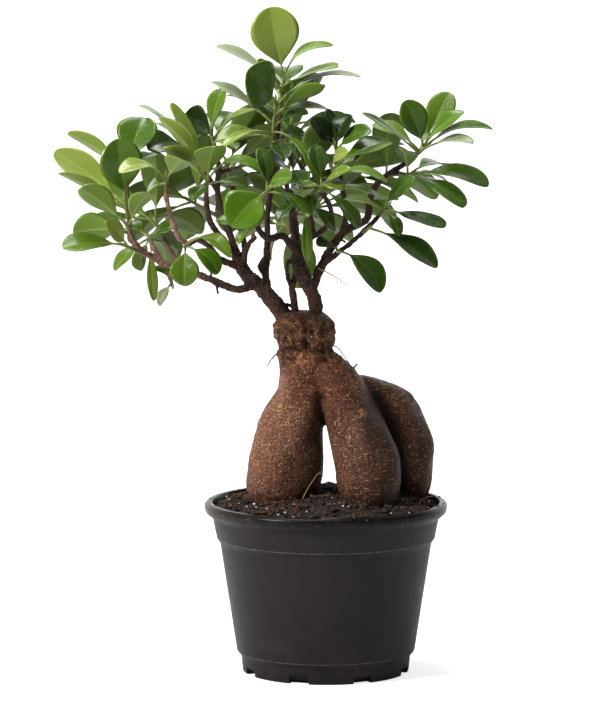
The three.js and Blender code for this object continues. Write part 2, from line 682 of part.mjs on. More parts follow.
function makeShoot(shoot, leaves) {
  const heart = vector(shoot.heart);
  const foot = spurEnd(shoot);
  const along = heart.clone().sub(foot).normalize();
  foot.addScaledVector(along, seatGap);
  const head = heart.clone().addScaledVector(along, twigHead);
  const twig = taperedTube([foot.toArray(), head.toArray()], [twigRadius, twigTipRadius], twigSides);
  return fromManifold(join([twig, ...leaves.map(leafBody)]));
}

const allShoots = [...shoots, ...farShoots];
const rods = Object.values(limbs).flatMap((limb) => rodPoints(limb.route, limb.radii, "trunk"));
for (const shoot of allShoots) {
  const middle = spurEnd(shoot).toArray();
  rods.push(...rodPoints([shoot.fork, middle], [spurRadius, spurTipRadius], "trunk"));
  rods.push(...rodPoints([middle, shoot.heart], [twigRadius, twigTipRadius], shoot.name));
}
const placed = [];
const leavesOf = new Map();
for (const shoot of allShoots) {
  const rows = shoot.leaves ?? farLeaves(shoot);
  const leaves = rows.map(([x, y, z, wide, face, bow], i) => (
    placeLeaf(leafBase(shoot, i, rows.length), vector([x, y, z]), wide, face, bow, shoot.name, placed, rods)
  ));
  leavesOf.set(shoot, leaves.filter((leaf) => leaf !== null));
}

const plant = new THREE.Group();
addMesh(plant, "pot", makePot(), "pot");
addMesh(plant, "soil", makeSoil(), "soil");
addMesh(plant, "trunk", makeTrunk(allShoots), "bark");
for (const shoot of allShoots) {
  addMesh(plant, `shoot_${shoot.name}`, makeShoot(shoot, leavesOf.get(shoot)), "leaf");
}

export default plant;
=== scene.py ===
import math

import bpy
import numpy as np
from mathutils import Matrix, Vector, noise


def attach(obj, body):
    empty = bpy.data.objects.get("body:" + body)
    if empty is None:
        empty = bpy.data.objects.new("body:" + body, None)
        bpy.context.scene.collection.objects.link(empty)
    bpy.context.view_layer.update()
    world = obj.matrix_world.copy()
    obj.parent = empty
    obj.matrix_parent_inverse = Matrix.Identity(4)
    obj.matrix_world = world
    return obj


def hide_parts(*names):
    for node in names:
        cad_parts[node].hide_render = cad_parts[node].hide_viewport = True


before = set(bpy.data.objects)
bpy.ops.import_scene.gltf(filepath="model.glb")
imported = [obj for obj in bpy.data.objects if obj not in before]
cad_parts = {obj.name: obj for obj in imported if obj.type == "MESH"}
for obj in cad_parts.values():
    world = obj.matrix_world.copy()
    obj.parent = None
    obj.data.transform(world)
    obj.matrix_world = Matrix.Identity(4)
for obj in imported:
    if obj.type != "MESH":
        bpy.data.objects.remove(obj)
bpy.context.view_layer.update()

mm = 0.001


# Small helpers for meshes and materials

def meshPiece(name, points, faces, material, smooth=True):
    mesh = bpy.data.meshes.new(name)
    mesh.from_pydata([tuple(p) for p in np.asarray(points) * mm], [], faces)
    mesh.validate()
    mesh.update()
    piece = bpy.data.objects.new(name, mesh)
    bpy.context.scene.collection.objects.link(piece)
    mesh.materials.append(material)
    mesh.polygons.foreach_set("use_smooth", [smooth] * len(mesh.polygons))
    return piece


def applyModifiers(piece):
    depsgraph = bpy.context.evaluated_depsgraph_get()
    fresh = bpy.data.meshes.new_from_object(piece.evaluated_get(depsgraph))
    old = piece.data
    piece.modifiers.clear()
    piece.data = fresh
    bpy.data.meshes.remove(old)


# Crossing tubes joined into one softened skin
def oneSkin(piece, voxel, smooth):
    remesh = piece.modifiers.new("oneSkin", "REMESH")
    remesh.mode, remesh.voxel_size = "VOXEL", voxel * mm
    soften = piece.modifiers.new("soften", "SMOOTH")
    soften.iterations = smooth
    applyModifiers(piece)


def settle(piece, slot, *nodes):
    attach(piece, "root")
    if nodes:
        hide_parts(*nodes)


# Rings of equal counts joined into a closed skin
def skinFaces(ringCount, sides, start=0):
    faces = []
    for r in range(ringCount - 1):
        for i in range(sides):
            a = start + r * sides + i
            b = start + r * sides + (i + 1) % sides
            faces.append((a, b, b + sides, a + sides))
    last = start + (ringCount - 1) * sides
    faces.append(tuple(start + i for i in reversed(range(sides))))
    faces.append(tuple(last + i for i in range(sides)))
    return faces


# A smooth route through given points, with an equal number of steps in each span
def smoothRoute(points, perSpan=8):
    p = np.array(points, float)
    p = np.vstack([2 * p[0] - p[1], p, 2 * p[-1] - p[-2]])
    route = []
    for i in range(1, len(p) - 2):
        for k in range(perSpan):
            t = k / perSpan
            route.append(0.5 * (2 * p[i] + (p[i + 1] - p[i - 1]) * t
                                + (2 * p[i - 1] - 5 * p[i] + 4 * p[i + 1] - p[i + 2]) * t ** 2
                                + (3 * p[i] - p[i - 1] - 3 * p[i + 1] + p[i + 2]) * t ** 3))
    route.append(p[-2])
    return np.array(route)


def tubeRings(route, radii, sides):
    rings = []
    across = np.array([0.0, 1.0, 0.0])
    for i, place in enumerate(route):
        along = route[min(i + 1, len(route) - 1)] - route[max(i - 1, 0)]
        along /= np.linalg.norm(along)
        if i == 0 and abs(along[1]) > 0.9:
            across = np.array([1.0, 0.0, 0.0])
        across = across - along * across.dot(along)
        across /= np.linalg.norm(across)
        third = np.cross(along, across)
        turn = np.arange(sides) * 2 * math.pi / sides
        rings.append(place + radii[i] * (np.cos(turn)[:, None] * across
                                         + np.sin(turn)[:, None] * third))
    return np.array(rings)


def newMaterial(name):
    material = bpy.data.materials.new(name)
    material.use_nodes = True
    tree = material.node_tree
    shader = tree.nodes["Principled BSDF"]
    return material, tree, shader


def put(tree, kind, values=None, **props):
    node = tree.nodes.new(kind)
    for key, value in props.items():
        setattr(node, key, value)
    for key, value in (values or {}).items():
        node.inputs[key].default_value = value
    return node


def maths(tree, operation, a, b=None, c=None, clamp=False):
    node = put(tree, "ShaderNodeMath", operation=operation, use_clamp=clamp)
    for socket, value in zip(node.inputs, (a, b, c)):
        if isinstance(value, bpy.types.NodeSocket):
            tree.links.new(value, socket)
        elif value is not None:
            socket.default_value = value
    return node.outputs[0]


def times(tree, a, b):
    return maths(tree, "MULTIPLY", a, b)


# A start value with any number of masks or heights added, each by its own share
def addUp(tree, start, *layers, clamp=False):
    total = start
    for value, share in layers:
        total = maths(tree, "MULTIPLY_ADD", value, share, total)
    total.node.use_clamp = clamp
    return total


def mixColour(tree, factor, first, second):
    node = put(tree, "ShaderNodeMix", data_type="RGBA")
    for socket, value in ((node.inputs[0], factor), (node.inputs[6], first), (node.inputs[7], second)):
        if isinstance(value, bpy.types.NodeSocket):
            tree.links.new(value, socket)
        else:
            socket.default_value = value
    return node.outputs[2]


def ramp(tree, value, low, high, fromZero=0.0, toOne=1.0):
    node = put(tree, "ShaderNodeMapRange", {"From Min": low, "From Max": high,
                                            "To Min": fromZero, "To Max": toOne}, clamp=True)
    tree.links.new(value, node.inputs["Value"])
    return node.outputs["Result"]


def noiseAt(tree, vector, scale, detail=4.0, roughness=0.55):
    node = put(tree, "ShaderNodeTexNoise", {"Scale": scale, "Detail": detail, "Roughness": roughness})
    tree.links.new(vector, node.inputs["Vector"])
    return node.outputs["Fac"]


# Colours laid one over another, each through its own mask
def layerColours(tree, colour, *layers):
    for mask, above in layers:
        colour = mixColour(tree, mask, colour, above)
    return colour


# Places on the object itself, whole and by axis
def objectPlace(tree):
    place = put(tree, "ShaderNodeTexCoord").outputs["Object"]
    parts = put(tree, "ShaderNodeSeparateXYZ")
    tree.links.new(place, parts.inputs[0])
    return place, parts.outputs


def stretched(tree, place, scale):
    node = put(tree, "ShaderNodeMapping")
    node.inputs["Scale"].default_value = scale
    tree.links.new(place, node.inputs["Vector"])
    return node.outputs[0]


def bumpFrom(tree, height, strength, distance, normal=None):
    node = put(tree, "ShaderNodeBump", {"Strength": strength, "Distance": distance})
    tree.links.new(height, node.inputs["Height"])
    if normal is not None:
        tree.links.new(normal, node.inputs["Normal"])
    return node.outputs["Normal"]


# Shared surface effects, as node groups that put out heights and masks

grainEffect = {"detail": 6.0, "roughness": 0.6, "broadShare": 0.12, "broadDetail": 3.0, "mottle": (0.3, 0.7)}
dustEffect = {
    "cloudShare": 0.15, "cloudDetail": 5.0, "cloudRoughness": 0.7, "speckShare": 4.0,
    "spotSize": (0.12, 0.22), "haze": (0.45, 0.80), "hazeShare": 0.5, "spotted": (0.40, 0.65),
}
poreEffect = {"smallest": 0.45, "sizeSpread": 0.8, "coreShare": 0.6}


def effectGroup(name, inputs, outputs):
    group = bpy.data.node_groups.new(name, "ShaderNodeTree")
    for label, kind, value in inputs:
        socket = group.interface.new_socket(name=label, in_out="INPUT", socket_type=kind)
        socket.default_value = value
    for label, kind in outputs:
        group.interface.new_socket(name=label, in_out="OUTPUT", socket_type=kind)
    return group, group.nodes.new("NodeGroupInput"), group.nodes.new("NodeGroupOutput")


def buildGrain():
    g = grainEffect
    group, start, end = effectGroup(
        "fineGrain",
        [("Scale", "NodeSocketFloat", 300.0), ("Contrast", "NodeSocketFloat", 1.0)],
        [("Height", "NodeSocketFloat"), ("Mottle", "NodeSocketFloat")])
    place = put(group, "ShaderNodeTexCoord").outputs["Object"]
    fine = put(group, "ShaderNodeTexNoise", {"Detail": g["detail"], "Roughness": g["roughness"]})
    broad = put(group, "ShaderNodeTexNoise", {"Detail": g["broadDetail"], "Roughness": 0.5})
    for node in (fine, broad):
        group.links.new(place, node.inputs["Vector"])
    group.links.new(start.outputs["Scale"], fine.inputs["Scale"])
    group.links.new(times(group, start.outputs["Scale"], g["broadShare"]), broad.inputs["Scale"])
    group.links.new(times(group, fine.outputs["Fac"], start.outputs["Contrast"]), end.inputs["Height"])
    group.links.new(ramp(group, broad.outputs["Fac"], *g["mottle"]), end.inputs["Mottle"])
    return group


def buildDust():
    d = dustEffect
    group, start, end = effectGroup(
        "paleDust",
        [("Amount", "NodeSocketFloat", 0.3), ("Scale", "NodeSocketFloat", 160.0)],
        [("Mask", "NodeSocketFloat")])
    place = put(group, "ShaderNodeTexCoord").outputs["Object"]
    cloud = put(group, "ShaderNodeTexNoise", {"Detail": d["cloudDetail"], "Roughness": d["cloudRoughness"]})
    speck = put(group, "ShaderNodeTexVoronoi", {"Randomness": 1.0})
    for node, share in ((cloud, d["cloudShare"]), (speck, d["speckShare"])):
        group.links.new(place, node.inputs["Vector"])
        group.links.new(times(group, start.outputs["Scale"], share), node.inputs["Scale"])
    spots = ramp(group, speck.outputs["Distance"], *d["spotSize"], 1.0, 0.0)
    haze = ramp(group, cloud.outputs["Fac"], *d["haze"])
    spotted = times(group, spots, ramp(group, cloud.outputs["Fac"], *d["spotted"]))
    both = addUp(group, spotted, (haze, d["hazeShare"]), clamp=True)
    group.links.new(times(group, both, start.outputs["Amount"]), end.inputs["Mask"])
    return group


# Spots, or level dashes where the height is stretched
def buildPores():
    group, start, end = effectGroup(
        "palePores",
        [("Scale", "NodeSocketFloat", 400.0), ("Level", "NodeSocketFloat", 2.0),
         ("Size", "NodeSocketFloat", 0.3), ("Share", "NodeSocketFloat", 0.5)],
        [("Mask", "NodeSocketFloat")])
    parts = objectPlace(group)[1]
    flat = put(group, "ShaderNodeCombineXYZ")
    group.links.new(parts["X"], flat.inputs["X"])
    group.links.new(parts["Y"], flat.inputs["Y"])
    group.links.new(times(group, parts["Z"], start.outputs["Level"]), flat.inputs["Z"])
    cells = put(group, "ShaderNodeTexVoronoi", {"Randomness": 1.0})
    group.links.new(flat.outputs[0], cells.inputs["Vector"])
    group.links.new(start.outputs["Scale"], cells.inputs["Scale"])
    pick = put(group, "ShaderNodeSeparateColor")
    group.links.new(cells.outputs["Color"], pick.inputs[0])
    drawn = addUp(group, poreEffect["smallest"], (pick.outputs["Green"], poreEffect["sizeSpread"]))
    reach = times(group, start.outputs["Size"], drawn)
    spot = put(group, "ShaderNodeMapRange", {"To Min": 1.0, "To Max": 0.0}, clamp=True)
    group.links.new(cells.outputs["Distance"], spot.inputs["Value"])
    group.links.new(times(group, reach, poreEffect["coreShare"]), spot.inputs["From Min"])
    group.links.new(reach, spot.inputs["From Max"])
    chosen = maths(group, "LESS_THAN", pick.outputs["Red"], start.outputs["Share"])
    group.links.new(times(group, spot.outputs["Result"], chosen), end.inputs["Mask"])
    return group


grainGroup = buildGrain()
dustGroup = buildDust()
poresGroup = buildPores()


def effect(tree, group, **values):
    node = put(tree, "ShaderNodeGroup", node_tree=group)
    for key, value in values.items():
        node.inputs[key].default_value = value
    return node


# Camera, lights and floor

cameraView = {
    "place": (-15.7, -2570.0, 504.0),
    "downTilt": 6.92,
    "lens": 208.5,
    "sensor": 36.0,
}

studio = {
    "frontLight": 0.055, "topLight": 0.26, "topBand": (0.1, 0.9),
    "backLight": 0.34, "backBand": (-0.2, 0.9),
    "floorColour": (0.60, 0.60, 0.60, 1), "floorRoughness": 0.9, "floorSpecular": 0.1,
    "floorGlow": 0.08, "floorWhite": (0.66, 0.97),
    "nearFloor": 0.45, "farFloor": 2.0, "floorSize": 60.0,
    "backdropPlace": 7.0, "backdropHeight": 5.1, "backdropReach": 12.7, "backdropGlow": 1.15,
    "keyPlace": (-1.75, -1.15, 1.60), "keySize": 0.70, "keyPower": 80,
    "topPlace": (-0.3, 0.25, 1.9), "topSize": 1.0, "topPower": 40,
    "aim": (0, 0, 0.22),
}


def makeCamera():
    data = bpy.data.cameras.new("photoCamera")
    data.lens = cameraView["lens"]
    data.sensor_width = cameraView["sensor"]
    camera = bpy.data.objects.new("photoCamera", data)
    camera.location = Vector(cameraView["place"]) * mm
    camera.rotation_euler = (math.radians(90 - cameraView["downTilt"]), 0, 0)
    bpy.context.scene.collection.objects.link(camera)
    bpy.context.scene.camera = camera


def makeLamp(name, place, size, power):
    data = bpy.data.lights.new(name, "AREA")
    data.shape = "DISK"
    data.size = size
    data.energy = power
    lamp = bpy.data.objects.new(name, data)
    lamp.location = place
    lamp.rotation_euler = (Vector(studio["aim"]) - Vector(place)).to_track_quat("-Z", "Y").to_euler()
    bpy.context.scene.collection.objects.link(lamp)


# Plain room: bright above and behind, dimmer towards the camera
def makeWorld():
    world = bpy.data.worlds.new("softRoom")
    world.use_nodes = True
    tree = world.node_tree
    parts = put(tree, "ShaderNodeSeparateXYZ")
    tree.links.new(put(tree, "ShaderNodeTexCoord").outputs["Generated"], parts.inputs[0])
    top = ramp(tree, parts.outputs["Z"], *studio["topBand"], 0.0, studio["topLight"])
    back = ramp(tree, parts.outputs["Y"], *studio["backBand"], 0.0, studio["backLight"])
    both = maths(tree, "ADD", maths(tree, "MAXIMUM", top, back), studio["frontLight"])
    tree.links.new(both, tree.nodes["Background"].inputs["Strength"])
    tree.nodes["Background"].inputs["Color"].default_value = (1, 1, 1, 1)
    bpy.context.scene.world = world


def studioPaper(name):
    material, tree, shader = newMaterial(name)
    shader.inputs["Base Color"].default_value = studio["floorColour"]
    shader.inputs["Roughness"].default_value = studio["floorRoughness"]
    shader.inputs["Emission Color"].default_value = (1, 1, 1, 1)
    return material, tree, shader


def makeStudio():
    makeWorld()
    bpy.context.scene.view_settings.view_transform = "Standard"
    makeLamp("keyLamp", studio["keyPlace"], studio["keySize"], studio["keyPower"])
    makeLamp("topLamp", studio["topPlace"], studio["topSize"], studio["topPower"])
    material, tree, shader = studioPaper("paleFloor")
    shader.inputs["Specular IOR Level"].default_value = studio["floorSpecular"]
    away = put(tree, "ShaderNodeVectorMath", operation="LENGTH")
    tree.links.new(put(tree, "ShaderNodeTexCoord").outputs["Object"], away.inputs[0])
    white = ramp(tree, away.outputs["Value"], studio["nearFloor"], studio["farFloor"], *studio["floorWhite"])
    seen = put(tree, "ShaderNodeLightPath").outputs["Is Camera Ray"]
    # White to the eye, with little fill from below
    whiteness = maths(tree, "MULTIPLY_ADD", seen, white, studio["floorGlow"])
    tree.links.new(whiteness, shader.inputs["Emission Strength"])
    half = studio["floorSize"] / 2 / mm
    corners = [(-half, -half, 0), (half, -half, 0), (half, half, 0), (-half, half, 0)]
    meshPiece("floor", corners, [(0, 1, 2, 3)], material, smooth=False)
    paper, tree, shader = studioPaper("backdropPaper")
    shader.inputs["Emission Strength"].default_value = studio["backdropGlow"]
    deep, tall, wide = (studio[key] / mm for key in ("backdropPlace", "backdropHeight", "backdropReach"))
    corners = [(-wide, deep, 0), (wide, deep, 0), (wide, deep, tall), (-wide, deep, tall)]
    meshPiece("backdrop", corners, [(0, 1, 2, 3)], paper, smooth=False)


makeCamera()
makeStudio()
print("camera and studio made")


# Nursery pot

pot = {
    "rimRadius": 75.0, "height": 106.0, "baseRadius": 51.5,
    "footHeight": 10.0, "footFlare": 1.0, "stepRise": 3.0,
    "bodyBottom": 55.2, "bodyTop": 65.5, "bodyTopHeight": 80.5,
    "bandBottom": 67.6, "bandTop": 70.0, "bandTopHeight": 96.0,
    "rimHeight": 6.6, "rimRound": 1.6, "rimWidth": 4.6,
    "wall": 1.7, "floor": 2.2, "segments": 160,
    "drains": 8, "drainWidth": 13.0, "drainHeight": 4.2, "drainReach": 46.0, "drainTurn": -19.5,
    "drainSlant": 2.0, "drainSlope": 2.4,
    "colour": (0.0125, 0.0094, 0.0106, 1), "worn": (0.0165, 0.0126, 0.0140, 1),
    "dust": (0.20, 0.14, 0.10, 1), "rimColour": (0.0036, 0.0028, 0.0030, 1),
    # ridge is the pale colour of the step edges, partly scuff wear and partly a painted highlight, and of the
    # rim's nicks
    "ridge": (0.15, 0.13, 0.125, 1), "specular": 0.17,
    # heights in metres for the material
    "rimBand": (0.0985, 0.1015), "dustyFoot": (0.03, 0.0), "dustAll": 0.12,
    # along the step edges: partly scuff wear, partly a painted highlight
    "ridgeHeights": (0.0131, 0.0836), "ridgeEdge": (0.00014, 0.00035), "ridgeHighlightWear": (0.38, 0.60, 0.12, 0.75),
    "grain": 900.0, "dustCloud": {"Amount": 0.30, "Scale": 170.0}, "scuffs": (240.0, 5.0, 0.7),
    "nicks": {"Scale": 330.0, "Level": 3.0, "Size": 0.30, "Share": 0.16}, "nickShare": 0.7,
    "roughness": 0.42, "mottleRough": 0.10, "rimRough": -0.20, "dustRough": 0.4,
    "streaks": (60.0, 3.0, 0.5), "streakStretch": (1, 1, 0.08), "dents": (190.0, 3.0, 0.6),
    "grainRise": 0.25, "dentRise": 3.0, "bump": (0.12, 0.0004),
}


def roundedProfile(corners, softness=0.7, steps=4):
    points = [np.array(corners[0], float)]
    for before, here, after in zip(corners, corners[1:], corners[2:]):
        a, b, c = (np.array(p, float) for p in (before, here, after))
        reach = min(softness, np.linalg.norm(b - a) * 0.45, np.linalg.norm(c - b) * 0.45)
        start = b + (a - b) / np.linalg.norm(a - b) * reach
        stop = b + (c - b) / np.linalg.norm(c - b) * reach
        for k in range(steps + 1):
            t = k / steps
            points.append((1 - t) ** 2 * start + 2 * t * (1 - t) * b + t ** 2 * stop)
    points.append(np.array(corners[-1], float))
    return np.array(points)


def potMaterial():
    material, tree, shader = newMaterial("charcoalPlastic")
    place, parts = objectPlace(tree)
    grain = effect(tree, grainGroup, Scale=pot["grain"], Contrast=1.0)
    dust = effect(tree, dustGroup, **pot["dustCloud"])
    rimMask = ramp(tree, parts["Z"], *pot["rimBand"])
    lowMask = ramp(tree, parts["Z"], *pot["dustyFoot"])
    dustZone = addUp(tree, pot["dustAll"], (rimMask, 1.0), (lowMask, 1.0), clamp=True)
    dusty = times(tree, dust.outputs["Mask"], dustZone)
    colour = layerColours(tree, pot["colour"], (grain.outputs["Mottle"], pot["worn"]),
                          (rimMask, pot["rimColour"]), (dusty, pot["dust"]))
    scuffs = noiseAt(tree, place, *pot["scuffs"])
    for level in pot["ridgeHeights"]:  # the moulded steps are pale along their edges: partly scuff wear, partly a painted highlight
        off = maths(tree, "ABSOLUTE", maths(tree, "SUBTRACT", parts["Z"], level))
        edge = ramp(tree, off, *pot["ridgeEdge"], 1.0, 0.0)
        line = times(tree, edge, ramp(tree, scuffs, *pot["ridgeHighlightWear"]))
        colour = mixColour(tree, line, colour, pot["ridge"])
    nicks = effect(tree, poresGroup, **pot["nicks"])
    nicked = times(tree, nicks.outputs["Mask"], times(tree, rimMask, pot["nickShare"]))
    tree.links.new(mixColour(tree, nicked, colour, pot["ridge"]), shader.inputs["Base Color"])
    rough = addUp(tree, pot["roughness"], (grain.outputs["Mottle"], pot["mottleRough"]),
                  (rimMask, pot["rimRough"]), (dusty, pot["dustRough"]), clamp=True)
    tree.links.new(rough, shader.inputs["Roughness"])
    streaks = noiseAt(tree, stretched(tree, place, pot["streakStretch"]), *pot["streaks"])
    dents = times(tree, noiseAt(tree, place, *pot["dents"]), rimMask)
    height = addUp(tree, streaks, (grain.outputs["Height"], pot["grainRise"]), (dents, pot["dentRise"]))
    tree.links.new(bumpFrom(tree, height, *pot["bump"]), shader.inputs["Normal"])
    shader.inputs["Specular IOR Level"].default_value = pot["specular"]
    return material


def makePot():
    p = pot
    rimBottom = p["height"] - p["rimHeight"]
    corners = [
        (0, 0), (p["baseRadius"], 0), (p["baseRadius"] + p["footFlare"], p["footHeight"]),
        (p["bodyBottom"], p["footHeight"] + p["stepRise"]),
        (p["bodyTop"], p["bodyTopHeight"]), (p["bandBottom"], p["bodyTopHeight"] + p["stepRise"]),
        (p["bandTop"], p["bandTopHeight"]), (p["rimRadius"] - p["rimRound"] / 2, rimBottom),
        (p["rimRadius"], rimBottom + p["rimRound"]), (p["rimRadius"], p["height"] - p["rimRound"]),
        (p["rimRadius"] - p["rimRound"], p["height"]), (p["rimRadius"] - p["rimWidth"], p["height"]),
        (p["bandTop"] - p["wall"], p["bandTopHeight"]),
        (p["bandBottom"] - p["wall"], p["bodyTopHeight"] + p["stepRise"]),
        (p["bodyTop"] - p["wall"], p["bodyTopHeight"]),
        (p["bodyBottom"] - p["wall"], p["footHeight"] + p["stepRise"]),
        (p["baseRadius"] - p["wall"], p["floor"]), (0, p["floor"]),
    ]
    profile = roundedProfile(corners)
    sides = p["segments"]
    turn = np.arange(sides) * 2 * math.pi / sides
    points = [(0, 0, 0)]
    for r, z in profile[1:-1]:
        points += [(r * math.cos(a), r * math.sin(a), z) for a in turn]
    points.append((0, 0, p["floor"]))
    faces = []
    ringCount = len(profile) - 2
    for r in range(ringCount - 1):
        for i in range(sides):
            a, b = 1 + r * sides + i, 1 + r * sides + (i + 1) % sides
            faces.append((a, b, b + sides, a + sides))
    last = 1 + (ringCount - 1) * sides
    for i in range(sides):
        faces.append((0, 1 + (i + 1) % sides, 1 + i))
        faces.append((len(points) - 1, last + i, last + (i + 1) % sides))
    piece = meshPiece("potShell", points, faces, potMaterial())
    cutters = []
    for i in range(p["drains"]):
        turnNow = math.radians(p["drainTurn"] + i * 360 / p["drains"])
        low, high = p["drainWidth"] / 2, p["drainWidth"] / 2 - p["drainSlant"] / 2
        near, far = p["drainReach"], p["drainReach"] + 20
        slope = p["drainSlope"] if i == 0 else 0
        section = [(-low, -5), (low + slope, -5), (high, p["drainHeight"]), (-high, p["drainHeight"])]
        ring = [(x, -near, z) for x, z in section] + [(x, -far, z) for x, z in section]
        c, s = math.cos(turnNow), math.sin(turnNow)
        ring = [(x * c - y * s, x * s + y * c, z) for x, y, z in ring]
        box = [(3, 2, 1, 0), (4, 5, 6, 7), (1, 5, 4, 0), (2, 6, 5, 1), (3, 7, 6, 2), (0, 4, 7, 3)]
        cutter = meshPiece(f"drainCutter{i}", ring, box, piece.data.materials[0], smooth=False)
        cut = piece.modifiers.new(f"drain{i}", "BOOLEAN")
        cut.operation, cut.solver, cut.object = "DIFFERENCE", "EXACT", cutter
        cutters.append(cutter)
    applyModifiers(piece)
    for cutter in cutters:
        bpy.data.objects.remove(cutter)
    settle(piece, "pot", "pot")


makePot()
print("pot made")


# Swollen roots: level oval rings from the top down, middle x, y and height, half width, half depth

knobRings = [
    (-15.5, -1, 224, 12.5, 11),
    (-13.5, -2, 219, 17, 14.5),
    (-13, -2, 213, 18.5, 15.5),
    (-12, -2, 203, 16.5, 14.5),
    (-10, -2, 193, 18.5, 15.5),
    (-8, -1, 182, 22, 16),
    (-5, 0, 172, 24, 15),
]

leftRootRings = [
    (-13, -3, 189, 14, 13),
    (-16, -5, 174, 15, 15),
    (-19.5, -6, 160, 19.5, 18),
    (-23, -7, 146, 21, 20),
    (-25.5, -8, 128, 23.2, 20.5),
    (-27, -9, 116, 22.4, 19),
    (-28.5, -9, 106, 17, 16),
    (-30, -9, 96, 11, 11),
    (-31, -9, 82, 6, 6),
]

middleRootRings = [
    (-1, -4, 196, 10, 11),
    (4, -7, 189, 13, 13),
    (9, -9, 180, 14.5, 15),
    (13, -11, 168, 17, 17),
    (18.2, -13, 157, 18.3, 18.5),
    (23.3, -15, 140, 20, 20),
    (25.8, -17, 124, 20, 20),
    (27, -18, 112, 17.5, 18),
    (27, -18, 102, 12.5, 14),
    (26, -18, 92, 8, 9),
    (25, -18, 82, 5, 5),
]

rightRootRings = [
    (16, 1, 184, 8, 8),
    (23, 7, 181, 9, 10),
    (29, 11, 178, 12, 12.5),
    (35, 15, 173.5, 14, 14.5),
    (39, 19, 167.5, 16, 15.5),
    (45, 23, 157, 16.5, 17),
    (50, 25, 140, 16.5, 17),
    (51.5, 26, 129, 15.5, 16.5),
    (52, 25.5, 116, 14.2, 14.5),
    (51.5, 25, 106, 12.5, 12.5),
    (48, 24, 92, 6, 7),
    (47, 23, 84, 4, 4.5),
]

# The knob is body 0 and the roots are bodies 1 to 3, from left to right
rootBodies = [knobRings, leftRootRings, middleRootRings, rightRootRings]
rippleLength = 9.0
rippleDepth = 0.05

# Each body's smoothed rings are kept, since they are asked for many times
smoothTables = {}


def ringsAt(rings, heights):
    if id(rings) not in smoothTables:
        smoothTables[id(rings)] = smoothRoute(rings[::-1], 12)
    route = smoothTables[id(rings)]
    return np.array([np.interp(heights, route[:, 2], route[:, k]) for k in (0, 1, 2, 3, 4)]).T


def rippleOut(turn, height):
    phase = height / rippleLength
    return 1 + rippleDepth * (np.sin(3 * turn + phase) + np.sin(5 * turn - phase) / 2)


# How far outside a root's skin a place lies, in mm, and far off past its ends
def outsideRoot(rings, places, farOff=99.0):
    low, high = rings[-1][2], rings[0][2]
    row = ringsAt(rings, np.clip(places[:, 2], low, high))
    dx, dy = places[:, 0] - row[:, 0], places[:, 1] - row[:, 1]
    share = np.hypot(dx / row[:, 3], dy / row[:, 4]) / rippleOut(np.arctan2(dy, dx), places[:, 2])
    off = (share - 1) * np.minimum(row[:, 3], row[:, 4])
    return np.where((places[:, 2] < low - 1) | (places[:, 2] > high + 1), farOff, off)


def steps(value, low, high):
    t = np.clip((value - low) / (high - low), 0, 1)
    return t * t * (3 - 2 * t)


# Up over the first two values of a band and down over the last two
def band(value, riseLow, riseHigh, fallLow, fallHigh):
    return steps(value, riseLow, riseHigh) * (1 - steps(value, fallLow, fallHigh))


def noiseOn(places, size, shift=0.0, octaves=3):
    return np.array([noise.fractal(Vector(p) / size + Vector((shift, shift, shift)), 1.0, 2.0, octaves)
                     for p in places])


